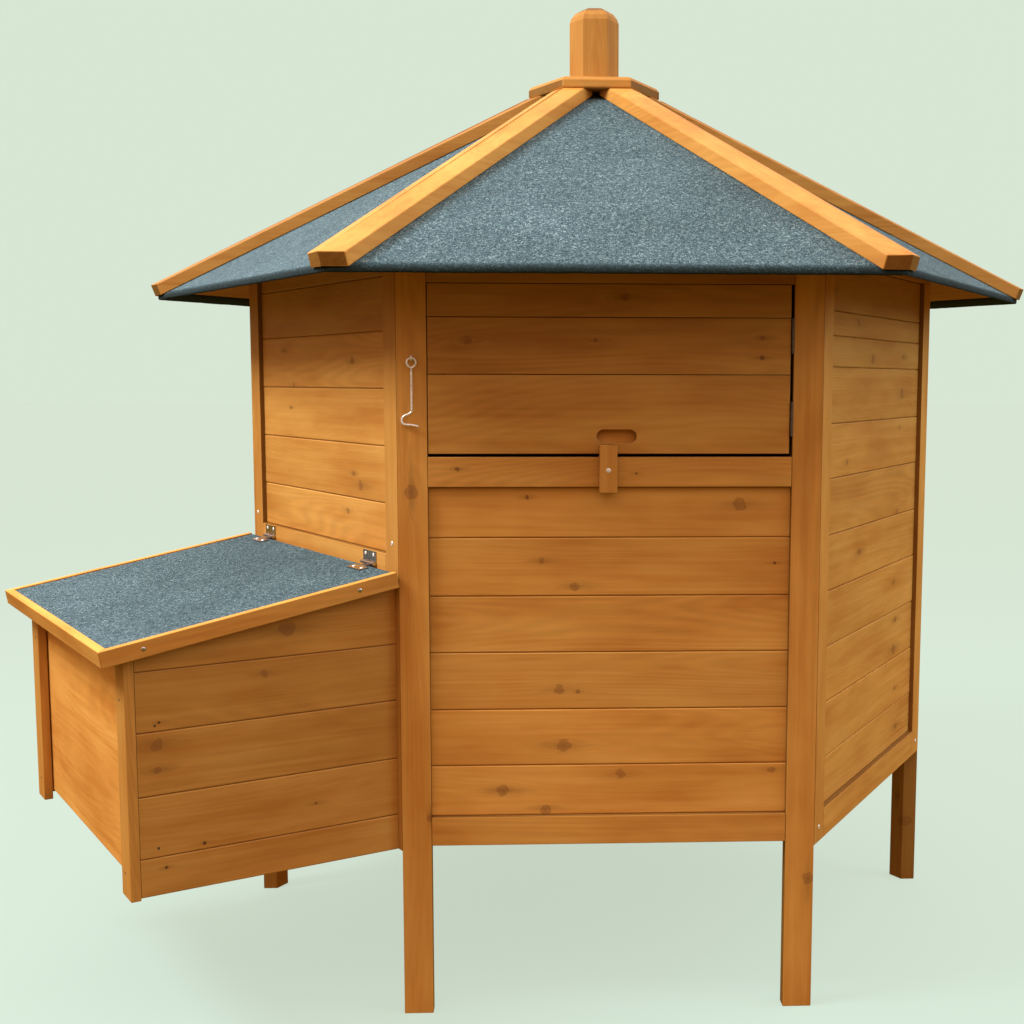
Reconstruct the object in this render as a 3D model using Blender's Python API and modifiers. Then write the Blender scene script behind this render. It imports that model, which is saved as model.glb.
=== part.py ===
"""A hexagonal timber hen house on legs, with a nest box, as separate named pieces. Metres, +Z up.

The house is drawn in its own frame: the hexagon's centre on the ground, the door wall facing -Y.
The empty "coop_origin" carries everything, so that the world origin is the middle of the whole
object's footprint. A wall's own frame has x along the wall from its left end as seen from outside,
y into the house from the outer face of the frame timber, and z up.
"""
from math import cos, pi, radians, sin, tan

import bmesh
import bpy
from mathutils import Matrix, Vector

# Driving dimensions
SIDE = 0.620  # outer side of the hexagon
STOCK_W = 0.044  # planed frame timber
STOCK_T = 0.022
BOARD_T = 0.012  # tongue-and-groove boards
SET_BACK = 0.008  # the boards' face behind the frame's face
BOARD_PITCH = 0.0855
UNDERSIDE = 0.2535  # ground to the walls' lower edge
NEST_DEPTH = 0.394
ROOF_SLOPE = 0.565  # rise over run of a roof panel
EAVE_SIDE = 0.7816
EAVE_Z = 1.0938  # underside of the eave
FIT = 0.0003  # clearance left between pieces that touch
HINGE_LEAF_T = 0.0012

# Worked out from them
HEX = radians(60)
HALF_HEX = radians(30)
APOTHEM = SIDE * cos(HALF_HEX)
EAVE_APOTHEM = EAVE_SIDE * cos(HALF_HEX)
INNER_APOTHEM = APOTHEM - STOCK_T
PANEL_X = (STOCK_W + FIT, SIDE - STOCK_W - FIT)  # between two stiles
BOARD_Y = (SET_BACK, SET_BACK + BOARD_T)
WALL_TOP = EAVE_Z + ROOF_SLOPE * (EAVE_APOTHEM - APOTHEM) - FIT
PLATE_Z = WALL_TOP - STOCK_W  # underside of the wall plate
STILE_TOP = PLATE_Z - FIT
RAIL_TOP = UNDERSIDE + 0.0465
FIRST_LINE = 0.3735  # lowest board joint of a plain wall

# Front wall
FRONT_RAIL = (UNDERSIDE + 0.0075, UNDERSIDE + 0.051)
SILL_RAIL = (0.798, 0.842)
DOOR_Z = (0.8465, 1.0905)
DOOR_X = (STOCK_W + 0.001, SIDE - STOCK_W - 0.0047)
HEADER_Z = DOOR_Z[1] + 0.0008
DOOR_AXIS = (SIDE - STOCK_W - 0.0022, -0.0005)  # of the hinge pins, in the front wall's frame
DOOR_HINGE_Z = (0.872, 0.992)
DOOR_HINGE_H = 0.050
DOOR_KNUCKLE_R = 0.0019
HAND_SLOT = (0.058, 0.0195)
HAND_SLOT_AT = (SIDE / 2 + 0.008, 0.8718)
BUTTON = (0.0257, 0.015, 0.070)
BUTTON_AT = (SIDE / 2 - 0.0045, 0.823)  # its screw
BUTTON_LOW = 0.033  # from the screw down to the button's lower end
HOOK_AT = (0.0224, 0.9775)
HOOK_RING_R = 0.0065
HOOK_WIRE_R = 0.0015
HOOK_OUT = 0.0050  # centre of the wire in front of the leg
EYE_R = 0.0033
EYE_WIRE_R = 0.00135
EYE_COLLAR_R = 0.0022

# Nest box and its lid, in the nest wall's frame
HINGE_RAIL = (0.653, 0.697)
NEST_SIDE_X = 0.012  # the box's sides stand in from the wall's two ends
NEST_POST = (0.0445, 0.014)
NEST_FLOOR_Z = 0.2655
LID_SLOPE = radians(9.92)
LID_EDGE_X = -0.010
LID_TOP = (0.009, 0.675)  # out from the wall and up: the top face of the lid's rails begins here
LID_REACH = 0.4305
LID_RAIL = (0.013, 0.023)
LID_FELT_DROP = 0.002
LID_PANEL_T = 0.012
LID_AXIS = (0.004, 0.6775)
LID_HINGE_X = (0.063, 0.496)
LID_HINGE_L = 0.047
LID_KNUCKLE_R = 0.0030
LID_PIN_R = 0.0012

# Roof
ROOF_T = 0.0097  # upright thickness of boards and felt
ROOF_PEAK_APOTHEM = 0.070
BATTEN_HALF = 0.0315
BATTEN_T = 0.020
BATTEN_TIP_R = 0.7935
BATTEN_FOOT_R = 0.066
BATTEN_END_TILT = 0.0075
CAP_R = 0.117
CAP_T = 0.020
FINIAL_R = 0.044
FINIAL_TOP = 1.6086
FINIAL_SHOULDER = 1.583

# Back wall: the hens' doorway and the door that lets down as their ramp
DOORWAY_X = (0.200, 0.420)
DOORWAY_Z = (RAIL_TOP, 0.740)
RAMP_LAP = 0.013
RAMP_T = 0.012
RAMP_BACK = SET_BACK - 0.0005  # the ramp's inner face, just off the boards
RAMP_LOW = RAIL_TOP + 0.0020
RAMP_AXIS = (RAMP_BACK - RAMP_T, RAMP_LOW - 0.0035)
RAMP_KNUCKLE_R = 0.0028
RAMP_BUTTON_Z = DOORWAY_Z[1] + RAMP_LAP + 0.022
CLEATS = 6

WALLS = ("front", "right", "back_right", "back", "back_left", "nest")
CORNERS = ("front_left", "front_right", "right", "back_right", "back_left", "left")

# A prism's outline is drawn in x and y and thickened along z; these turn it to its place in a wall.
ALONG_WALL = Matrix(((0, 0, 1, 0), (1, 0, 0, 0), (0, 1, 0, 0), (0, 0, 0, 1)))  # outline in y, z
FACING = Matrix(((1, 0, 0, 0), (0, 0, -1, 0), (0, 1, 0, 0), (0, 0, 0, 1)))  # outline in x, z


def wall_frame(index):
    """From the frame of the wall at this place, counted from the front to the right, to the house's."""
    return Matrix.Rotation(index * HEX, 4, "Z") @ Matrix.Translation((-SIDE / 2, -APOTHEM, 0))


def hip_frame(index):
    """x runs outward along the hip that stands over the left end of this wall."""
    return Matrix.Rotation(index * HEX - radians(120), 4, "Z")


FRONT, RIGHT, BACK, NEST = (wall_frame(WALLS.index(name)) for name in ("front", "right", "back", "nest"))


# Scene, materials and objects


def clear_scene():
    for obj in list(bpy.data.objects):
        bpy.data.objects.remove(obj, do_unlink=True)


def new_collection(name):
    collection = bpy.data.collections.new(name)
    bpy.context.scene.collection.children.link(collection)
    return collection


def new_material(name, colour, roughness, metallic=0.0):
    material = bpy.data.materials.new(name)
    material.use_nodes = True
    shader = material.node_tree.nodes["Principled BSDF"]
    shader.inputs["Base Color"].default_value = (*colour, 1.0)
    shader.inputs["Roughness"].default_value = roughness
    shader.inputs["Metallic"].default_value = metallic
    return material


def footprint_middle():
    """The middle, in the house's frame, of everything's extent in x and y."""
    lid_far = NEST @ Vector((LID_EDGE_X, -LID_REACH, 0))
    lid_near = NEST @ Vector((SIDE - LID_EDGE_X, -LID_REACH, 0))
    return Vector(((lid_far.x + BATTEN_TIP_R) / 2, (lid_near.y + BATTEN_TIP_R * cos(HALF_HEX)) / 2, 0))


def add_empty(name, location, parent=None):
    empty = bpy.data.objects.new(name, None)
    COOP.objects.link(empty)
    empty.parent = parent
    empty.location = location
    empty.empty_display_size = 0.05
    return empty


def add_piece(name, mesh, matrix, material, axis=None):
    """An object at this place in the house's frame, carried by the empty on its joint's axis."""
    piece = bpy.data.objects.new(name, mesh)
    COOP.objects.link(piece)
    piece.data.materials.append(material)
    piece.parent = axis or ORIGIN
    offset = Matrix.Translation(-axis.location) if axis else Matrix()
    piece.matrix_local = offset @ matrix
    return piece


def add_cutter(name, mesh, matrix):
    cutter = bpy.data.objects.new(name, mesh)
    CUTTERS.objects.link(cutter)
    cutter.parent = ORIGIN
    cutter.matrix_local = matrix
    cutter.hide_render = True
    cutter.display_type = "WIRE"
    return cutter


def boolean(piece, cutter, operation="DIFFERENCE"):
    modifier = piece.modifiers.new(operation.lower(), "BOOLEAN")
    modifier.operation = operation
    modifier.object = cutter


def bevel(piece, width, segments=1):
    modifier = piece.modifiers.new("bevel", "BEVEL")
    modifier.width = width
    modifier.segments = segments
    modifier.limit_method = "ANGLE"


# Meshes


def box_mesh(name, low, high):
    """A box between two corners."""
    low, high = Vector(low), Vector(high)
    mesh = bpy.data.meshes.new(name)
    work = bmesh.new()
    bmesh.ops.create_cube(work, size=1)
    bmesh.ops.scale(work, vec=high - low, verts=work.verts)
    bmesh.ops.translate(work, vec=(low + high) / 2, verts=work.verts)
    work.to_mesh(mesh)
    work.free()
    return mesh


def rod_mesh(name, radius, length, sides=16):
    """A cylinder along z, from 0 to its length."""
    mesh = bpy.data.meshes.new(name)
    work = bmesh.new()
    bmesh.ops.create_cone(
        work, cap_ends=True, segments=sides, radius1=radius, radius2=radius, depth=length
    )
    bmesh.ops.translate(work, vec=(0, 0, length / 2), verts=work.verts)
    work.to_mesh(mesh)
    work.free()
    return mesh


def mesh_of_curve(name, curve):
    """The curve's solid as a mesh, with its caps welded on."""
    guide = bpy.data.objects.new(name, curve)
    bpy.context.scene.collection.objects.link(guide)
    graph = bpy.context.evaluated_depsgraph_get()
    mesh = bpy.data.meshes.new_from_object(guide.evaluated_get(graph))
    bpy.data.objects.remove(guide)
    work = bmesh.new()
    work.from_mesh(mesh)
    bmesh.ops.remove_doubles(work, verts=work.verts, dist=1e-6)
    bmesh.ops.recalc_face_normals(work, faces=work.faces)
    work.to_mesh(mesh)
    work.free()
    mesh.materials.clear()
    return mesh


def prism_mesh(name, loops, thickness):
    """An outline, with holes where there are more loops, thickened evenly about its plane."""
    curve = bpy.data.curves.new(name, "CURVE")
    curve.dimensions = "2D"
    curve.fill_mode = "BOTH"
    curve.extrude = thickness / 2
    for loop in loops:
        spline = curve.splines.new("POLY")
        spline.points.add(len(loop) - 1)
        for point, place in zip(spline.points, loop):
            point.co = (*place, 0, 1)
        spline.use_cyclic_u = True
    return mesh_of_curve(name, curve)


def wire_mesh(name, points, radius):
    """A round wire through these points."""
    curve = bpy.data.curves.new(name, "CURVE")
    curve.dimensions = "3D"
    curve.bevel_depth = radius
    curve.bevel_resolution = 2
    curve.use_fill_caps = True
    spline = curve.splines.new("POLY")
    spline.points.add(len(points) - 1)
    for point, place in zip(spline.points, points):
        point.co = (*place, 1)
    return mesh_of_curve(name, curve)


def turned_piece(name, profile, sides, matrix, material):
    """A profile in x and z, from the top down, turned about z into this many sides."""
    mesh = bpy.data.meshes.new(name)
    mesh.from_pydata([(x, 0, z) for x, z in profile], [(i, i + 1) for i in range(len(profile) - 1)], [])
    piece = add_piece(name, mesh, matrix, material)
    screw = piece.modifiers.new("turn", "SCREW")
    screw.steps = sides
    screw.render_steps = sides
    screw.use_merge_vertices = True
    screw.merge_threshold = 1e-5
    return piece


def joined_mesh(name, meshes):
    """Overlapping solids made one by a Boolean union."""
    objects = [bpy.data.objects.new(name, mesh) for mesh in meshes]
    for obj in objects:
        bpy.context.scene.collection.objects.link(obj)
    for other in objects[1:]:
        boolean(objects[0], other, "UNION")
    graph = bpy.context.evaluated_depsgraph_get()
    mesh = bpy.data.meshes.new_from_object(objects[0].evaluated_get(graph))
    for obj in objects:
        bpy.data.objects.remove(obj)
    return mesh


def moved(mesh, matrix):
    mesh.transform(matrix)
    return mesh


def hexagon(apothem):
    """Corners lie over the house's corners."""
    radius = apothem / cos(HALF_HEX)
    return [(radius * cos(k * HEX), radius * sin(k * HEX)) for k in range(6)]


# Walls


def stile_outline(left):
    """The mitred section of a stile at the left or right end of a wall, in plan."""
    edge = FIT / 2 / cos(HALF_HEX)
    outline = [
        (edge, 0),
        (STOCK_W, 0),
        (STOCK_W, STOCK_T),
        (edge + STOCK_T * tan(HALF_HEX), STOCK_T),
    ]
    return outline if left else [(SIDE - x, y) for x, y in reversed(outline)]


def stile_mesh(name, left, low, high):
    mesh = prism_mesh(name, [stile_outline(left)], high - low)
    return moved(mesh, Matrix.Translation((0, 0, (low + high) / 2)))


def board_lines(first, pitch, top):
    lines = []
    while first < top - 0.01:
        lines.append(first)
        first += pitch
    return lines


def boarded_outline(low, high, lines, rail=None):
    """The section of boards with a V joint at each line, standing on a rail if there is one."""
    width, depth = 0.0012, 0.0022
    face, back = BOARD_Y
    outline = [(face, high)]
    for z in reversed(lines):
        outline += [(face, z + width), (face + depth, z), (face, z - width)]
    if rail:
        outline += [(face, rail[1]), (0, rail[1]), (0, rail[0]), (STOCK_T, rail[0]), (STOCK_T, rail[1])]
        outline += [(back, rail[1]), (back, high)]
    else:
        outline += [(face, low), (back, low), (back, high)]
    return outline


def boarded_mesh(name, outline, span):
    mesh = prism_mesh(name, [outline], span[1] - span[0])
    return moved(mesh, Matrix.Translation(((span[0] + span[1]) / 2, 0, 0)) @ ALONG_WALL)


def add_stiles():
    """Every second wall has stiles that run down to the ground as its legs."""
    for index in (0, 2, 4):
        for left in (True, False):
            name = "leg_" + CORNERS[index if left else (index + 1) % 6]
            add_piece(name, stile_mesh(name, left, 0, STILE_TOP), wall_frame(index), WOOD)
    for wall, frame, ends in (("right", RIGHT, ("front", "back")), ("nest", NEST, ("back", "front"))):
        for left, end in zip((True, False), ends):
            name = f"{wall}_wall_stile_{end}"
            add_piece(name, stile_mesh(name, left, UNDERSIDE, STILE_TOP), frame, WOOD)


def add_rail(name, frame, span):
    mesh = box_mesh(name, (PANEL_X[0], 0, span[0]), (PANEL_X[1], STOCK_T, span[1]))
    add_piece(name, mesh, frame, WOOD)


def add_boards(name, frame, low, high, first_line, pitch=BOARD_PITCH):
    outline = boarded_outline(low + FIT, high - FIT, board_lines(first_line, pitch, high))
    add_piece(name, boarded_mesh(name, outline, PANEL_X), frame, WOOD)


def add_visible_walls():
    add_rail("front_bottom_rail", FRONT, FRONT_RAIL)
    add_rail("front_sill_rail", FRONT, SILL_RAIL)
    add_boards("front_boards", FRONT, FRONT_RAIL[1], SILL_RAIL[0], 0.381)
    add_rail("right_wall_bottom_rail", RIGHT, (UNDERSIDE, RAIL_TOP))
    add_boards("right_wall_boards", RIGHT, RAIL_TOP, PLATE_Z, FIRST_LINE)
    add_rail("nest_wall_bottom_rail", NEST, (UNDERSIDE, RAIL_TOP))
    add_rail("nest_wall_hinge_rail", NEST, HINGE_RAIL)
    add_boards("nest_wall_boards", NEST, HINGE_RAIL[1], PLATE_Z, 0.770, 0.0845)


def blank_wall_outline():
    """The section of a wall's boards and bottom rail in one."""
    lines = board_lines(FIRST_LINE, BOARD_PITCH, STILE_TOP)
    return boarded_outline(RAIL_TOP, STILE_TOP, lines, (UNDERSIDE, RAIL_TOP))


def add_back_side_walls():
    """Boards and bottom rail of the two blank walls at the back."""
    for wall in ("back_right", "back_left"):
        name = wall + "_wall"
        mesh = boarded_mesh(name, blank_wall_outline(), PANEL_X)
        add_piece(name, mesh, wall_frame(WALLS.index(wall)), WOOD)


def add_back_wall():
    """The back wall's frame and boards, with the hens' doorway through them."""
    name = "back_wall"
    lap = 0.006
    boards = boarded_mesh(name, blank_wall_outline(), (STOCK_W - lap, SIDE - STOCK_W + lap))
    stiles = [stile_mesh(name, left, UNDERSIDE, STILE_TOP) for left in (True, False)]
    wall = add_piece(name, joined_mesh(name, [boards, *stiles]), BACK, WOOD)
    hole = box_mesh("doorway", (DOORWAY_X[0], -0.03, DOORWAY_Z[0]), (DOORWAY_X[1], 0.05, DOORWAY_Z[1]))
    boolean(wall, add_cutter("doorway_cutter", hole, BACK))


def add_wall_plate():
    """The ring that ties the six walls together, with the lintel over the door."""
    name = "wall_plate"
    ring = prism_mesh(name, [hexagon(APOTHEM), hexagon(INNER_APOTHEM)], WALL_TOP - PLATE_Z)
    ring = moved(ring, Matrix.Translation((0, 0, (PLATE_Z + WALL_TOP) / 2)))
    lintel = box_mesh(name, (PANEL_X[0], 0, HEADER_Z), (PANEL_X[1], STOCK_T, PLATE_Z + 0.010))
    # The lintel's face stands a hair behind the ring's, so that the union has no faces in one plane.
    lintel = moved(lintel, FRONT @ Matrix.Translation((0, FIT, 0)))
    add_piece(name, joined_mesh(name, [ring, lintel]), Matrix(), WOOD)


# Door, button and hook


def stadium(width, height, centre, steps=8):
    """A slot's outline with round ends."""
    radius = height / 2
    reach = width / 2 - radius
    points = []
    for side, start in ((1, -pi / 2), (-1, pi / 2)):
        for k in range(steps + 1):
            angle = start + pi * k / steps
            points.append((centre[0] + side * reach + radius * cos(angle), centre[1] + radius * sin(angle)))
    return points


def add_door():
    axis = add_empty("door_axis", FRONT @ Vector((*DOOR_AXIS, 0)), ORIGIN)
    depth = 0.0022
    outline = [(0, DOOR_Z[1])]
    for z in (1.043, 0.961):
        outline += [(0, z + 0.0012), (depth, z), (0, z - 0.0012)]
    outline += [(0, DOOR_Z[0]), (BOARD_T, DOOR_Z[0]), (BOARD_T, DOOR_Z[1])]
    door = add_piece("door", boarded_mesh("door", outline, DOOR_X), FRONT, WOOD, axis)
    slot = prism_mesh("hand_slot", [stadium(*HAND_SLOT, HAND_SLOT_AT)], 0.06)
    boolean(door, add_cutter("hand_slot_cutter", slot, FRONT @ FACING))
    add_door_ledges(axis)


def add_door_ledges(axis):
    """Two uprights and a foot that hold the door's boards together; the foot backs the finger slot."""
    left, right = DOOR_X[0] + 0.030, DOOR_X[1] - 0.030
    low, high = DOOR_Z[0] + 0.004, DOOR_Z[1] - 0.012
    foot_top = low + STOCK_W
    outline = [
        (left, low),
        (right, low),
        (right, high),
        (right - STOCK_W, high),
        (right - STOCK_W, foot_top),
        (left + STOCK_W, foot_top),
        (left + STOCK_W, high),
        (left, high),
    ]
    mesh = moved(prism_mesh("door_ledges", [outline], BOARD_T), FACING)
    place = FRONT @ Matrix.Translation((0, 1.5 * BOARD_T + FIT, 0))
    add_piece("door_ledges", mesh, place, WOOD, axis)


def add_door_hinges():
    """The leaf and knuckle that stay on the leg; each pair of leaves turns about its pin."""
    for place, low in zip(("lower", "upper"), DOOR_HINGE_Z):
        name = "door_hinge_" + place
        knuckle = moved(rod_mesh(name, DOOR_KNUCKLE_R, DOOR_HINGE_H), Matrix.Translation((*DOOR_AXIS, low)))
        leg_face = SIDE - STOCK_W
        leaf = box_mesh(
            name,
            (DOOR_AXIS[0] + 0.0006, DOOR_AXIS[1] + 0.0002, low + 0.0002),
            (leg_face - FIT, 0.018, low + DOOR_HINGE_H - 0.0002),
        )
        add_piece(name, joined_mesh(name, [knuckle, leaf]), FRONT, ZINC)


def add_turn_button():
    """The wooden button that keeps the door's lower edge shut."""
    back = -0.0015
    axis = add_empty("turn_button_axis", FRONT @ Vector((BUTTON_AT[0], back, BUTTON_AT[1])), ORIGIN)
    width, thickness, height = BUTTON
    low = (-width / 2, -thickness, -BUTTON_LOW)
    high = (width / 2, 0, height - BUTTON_LOW)
    place = FRONT @ Matrix.Translation((BUTTON_AT[0], back, BUTTON_AT[1]))
    button = add_piece("turn_button", box_mesh("turn_button", low, high), place, WOOD, axis)
    bevel(button, 0.0015)


def torus_mesh(name, ring_r, wire_r, sides=20, wire_sides=8):
    """A ring about y, as a circle's wire."""
    curve = bpy.data.curves.new(name, "CURVE")
    curve.dimensions = "3D"
    curve.bevel_depth = wire_r
    curve.bevel_resolution = wire_sides // 4
    spline = curve.splines.new("POLY")
    spline.points.add(sides - 1)
    for k, point in enumerate(spline.points):
        angle = 2 * pi * k / sides
        point.co = (ring_r * cos(angle), 0, ring_r * sin(angle), 1)
    spline.use_cyclic_u = True
    return mesh_of_curve(name, curve)


def add_hook():
    """A wire hook that hangs by its ring from a screw eye in the leg."""
    centre = Vector((HOOK_AT[0], -HOOK_OUT, HOOK_AT[1]))
    axis = add_empty("hook_axis", FRONT @ centre, ORIGIN)
    ring = torus_mesh("hook", HOOK_RING_R, HOOK_WIRE_R)
    shank = [(0, 0, -HOOK_RING_R), (0, 0, -0.0685), (-0.002, 0, -0.0725), (-0.0125, 0, -0.0830)]
    tip = [(-0.0143, 0, -0.0860), (-0.0135, 0, -0.0888), (-0.0105, 0, -0.0898), (0.0095, 0, -0.0953)]
    wire = wire_mesh("hook", shank + tip, HOOK_WIRE_R)
    place = FRONT @ Matrix.Translation(centre)
    add_piece("hook", joined_mesh("hook", [ring, wire]), place, ZINC, axis)


def add_hook_screw():
    """Screw eye in the leg, square to it; the top of the hook's ring goes through the eye."""
    name = "hook_screw"
    eye = moved(torus_mesh(name, EYE_R, EYE_WIRE_R), Matrix.Rotation(radians(90), 4, "Z"))
    collar_place = Matrix.Translation((0, HOOK_OUT - FIT, 0)) @ Matrix.Rotation(radians(90), 4, "X")
    collar = moved(rod_mesh(name, EYE_COLLAR_R, HOOK_OUT - FIT - EYE_R), collar_place)
    place = FRONT @ Matrix.Translation((HOOK_AT[0], -HOOK_OUT, HOOK_AT[1] + HOOK_RING_R))
    add_piece(name, joined_mesh(name, [eye, collar]), place, ZINC)


# Nest box


def lid_frame():
    """From the lid's own frame to the house's: its rails' top face is z = 0 and y = 0 is its hinged edge."""
    return NEST @ Matrix.Translation((0, -LID_TOP[0], LID_TOP[1])) @ Matrix.Rotation(LID_SLOPE, 4, "X")


def add_nest_slope_cutter():
    """Everything above this slope is cut off the box's walls, to leave room under the lid."""
    drop = LID_FELT_DROP + LID_PANEL_T + 0.001
    mesh = box_mesh("nest_slope", (-0.1, -0.6, -drop), (SIDE + 0.1, 0.1, 0.4))
    return add_cutter("nest_slope_cutter", mesh, lid_frame())


def add_nest_side(name, near, slope):
    """Boards of one side; their joints show outside."""
    width, depth = 0.0012, 0.0022
    outer, inner = SIDE - NEST_SIDE_X, SIDE - NEST_SIDE_X - BOARD_T
    top = LID_TOP[1] + 0.02
    outline = [(outer, UNDERSIDE)]
    for z in board_lines(0.307, BOARD_PITCH, 0.60):
        outline += [(outer, z - width), (outer - depth, z), (outer, z + width)]
    outline += [(outer, top), (inner, top), (inner, UNDERSIDE)]
    if not near:
        outline = [(SIDE - x, z) for x, z in reversed(outline)]
    span = NEST_DEPTH - NEST_POST[1] - 2 * FIT
    mesh = moved(prism_mesh(name, [outline], span), FACING)
    side = add_piece(name, mesh, NEST @ Matrix.Translation((0, -FIT - span / 2, 0)), WOOD)
    boolean(side, slope)


def add_nest_box():
    slope = add_nest_slope_cutter()
    add_nest_side("nest_side_front", True, slope)
    add_nest_side("nest_side_back", False, slope)
    inner = NEST_SIDE_X + BOARD_T + FIT
    panel_out = NEST_DEPTH - 0.016
    top = LID_TOP[1]
    for end, x in (("back", NEST_SIDE_X), ("front", SIDE - NEST_SIDE_X - NEST_POST[0])):
        name = "nest_corner_post_" + end
        low = (x, -NEST_DEPTH, UNDERSIDE - 0.003)
        high = (x + NEST_POST[0], -NEST_DEPTH + NEST_POST[1], top)
        boolean(add_piece(name, box_mesh(name, low, high), NEST, WOOD), slope)
    low = (inner, -panel_out, NEST_FLOOR_Z)
    high = (SIDE - inner, -panel_out + BOARD_T, top)
    boolean(add_piece("nest_end_panel", box_mesh("nest_end_panel", low, high), NEST, WOOD), slope)
    floor_out = panel_out - BOARD_T - FIT
    low = (inner, -floor_out, NEST_FLOOR_Z)
    high = (SIDE - inner, -FIT, NEST_FLOOR_Z + BOARD_T)
    add_piece("nest_floor", box_mesh("nest_floor", low, high), NEST, WOOD)


def add_lid():
    """A felted board panel in a three-sided frame, hinged to the rail on the wall."""
    axis = add_empty("lid_axis", NEST @ Vector((0, -LID_AXIS[0], LID_AXIS[1])), ORIGIN)
    length = (LID_REACH - LID_TOP[0]) / cos(LID_SLOPE)
    back = 0.002
    left, right = LID_EDGE_X, SIDE - LID_EDGE_X
    thick, high = LID_RAIL
    outline = [
        (left, -length),
        (right, -length),
        (right, back),
        (right - thick, back),
        (right - thick, -length + thick),
        (left + thick, -length + thick),
        (left + thick, back),
        (left, back),
    ]
    mesh = moved(prism_mesh("lid_frame", [outline], high), Matrix.Translation((0, 0, -high / 2)))
    add_piece("lid_frame", mesh, lid_frame(), WOOD, axis)
    low = (left + thick + FIT, -length + thick + FIT, -LID_FELT_DROP - LID_PANEL_T)
    high_corner = (right - thick - FIT, back, -LID_FELT_DROP)
    add_piece("lid_panel", box_mesh("lid_panel", low, high_corner), lid_frame(), FELT, axis)
    add_lid_hinges(axis)


def knuckle_mesh(name, low, high, radius, sides=16):
    """A rod along x at the lid's hinge axis, in the nest wall's frame."""
    rod = rod_mesh(name, radius, high - low, sides)
    turn = Matrix.Rotation(radians(90), 4, "Y")
    return moved(rod, Matrix.Translation((low, -LID_AXIS[0], LID_AXIS[1])) @ turn)


def add_lid_hinges(axis):
    """Butt hinges: the wall leaf has two knuckles and the pin, and the lid leaf has the middle one."""
    third = LID_HINGE_L / 3
    to_felt = NEST.inverted() @ lid_frame() @ Matrix.Translation((0, 0, -LID_FELT_DROP))
    plate_y = (-FIT - HINGE_LEAF_T, -FIT)
    notch_z = LID_AXIS[1] + LID_KNUCKLE_R + 0.0004
    for end, start in zip(("back", "front"), LID_HINGE_X):
        stop = start + LID_HINGE_L
        outer = ((start, start + third - FIT), (stop - third + FIT, stop))
        name = "lid_hinge_wall_leaf_" + end
        parts = [box_mesh(name, (start, plate_y[0], notch_z), (stop, plate_y[1], HINGE_RAIL[1] - 0.001))]
        for low, high in outer:
            low_corner = (low, plate_y[0], LID_AXIS[1] - 0.0006)
            parts.append(box_mesh(name, low_corner, (high, plate_y[1], notch_z + 0.001)))
            parts.append(knuckle_mesh(name, low, high, LID_KNUCKLE_R))
        parts.append(knuckle_mesh(name, start + 0.001, stop - 0.001, LID_PIN_R, 12))
        add_piece(name, joined_mesh(name, parts), NEST, ZINC)

        name = "lid_hinge_lid_leaf_" + end
        top = FIT + HINGE_LEAF_T
        plate = box_mesh(name, (start, -0.020, FIT), (stop, -0.0050, top))
        tongue = box_mesh(name, (start + third, -0.0060, FIT), (stop - third, 0.0052, top))
        parts = [moved(plate, to_felt), moved(tongue, to_felt)]
        parts.append(knuckle_mesh(name, start + third, stop - third, LID_KNUCKLE_R))
        leaf = add_piece(name, joined_mesh(name, parts), NEST, ZINC, axis)
        bore = knuckle_mesh("pin_bore", start, stop, LID_PIN_R + FIT, 12)
        boolean(leaf, add_cutter(name + "_bore_cutter", bore, NEST))


# Roof


def roof_panel_mesh(name):
    """In a wall's frame: a plan outline, thickened, then sheared up to the roof's slope."""
    eave_y = APOTHEM - EAVE_APOTHEM
    peak_y = APOTHEM - ROOF_PEAK_APOTHEM
    half_eave = EAVE_SIDE / 2 - FIT / 2 / cos(HALF_HEX)
    half_peak = ROOF_PEAK_APOTHEM * tan(HALF_HEX) - FIT / 2 / cos(HALF_HEX)
    middle = SIDE / 2
    outline = [
        (middle - half_eave, eave_y),
        (middle + half_eave, eave_y),
        (middle + half_peak, peak_y),
        (middle - half_peak, peak_y),
    ]
    mesh = prism_mesh(name, [outline], ROOF_T)
    shear = Matrix()
    shear[2][1] = ROOF_SLOPE
    lift = EAVE_Z + ROOF_T / 2 - ROOF_SLOPE * eave_y
    return moved(mesh, Matrix.Translation((0, 0, lift)) @ shear)


def batten_mesh(name):
    """In a hip's frame: two equal faces that follow the roof on either side, cut along both eaves."""
    fall = ROOF_SLOPE * sin(HALF_HEX)
    rise = BATTEN_T * (1 + ROOF_SLOPE**2) ** 0.5
    half = BATTEN_HALF
    outline = [
        (-half, -fall * half),
        (0, 0),
        (half, -fall * half),
        (half, rise - fall * half),
        (0, rise),
        (-half, rise - fall * half),
    ]
    mesh = moved(prism_mesh(name, [outline], 1.0), ALONG_WALL)
    hip_slope = ROOF_SLOPE * cos(HALF_HEX)
    corner_z = EAVE_Z + ROOF_T + FIT
    for vertex in mesh.vertices:
        end, across, height = vertex.co
        is_top = height + fall * abs(across) > rise / 2
        reach = BATTEN_TIP_R - abs(across) * tan(HALF_HEX) - (0 if is_top else BATTEN_END_TILT)
        along = reach if end > 0 else BATTEN_FOOT_R
        vertex.co = (along, across, corner_z + height + hip_slope * (EAVE_SIDE - along))
    return mesh


def cap_underside():
    """The cap rests on the battens' ridges where they pass under its corners."""
    rise = BATTEN_T * (1 + ROOF_SLOPE**2) ** 0.5
    return EAVE_Z + ROOF_T + FIT + rise + ROOF_SLOPE * cos(HALF_HEX) * (EAVE_SIDE - CAP_R) + FIT


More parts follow.
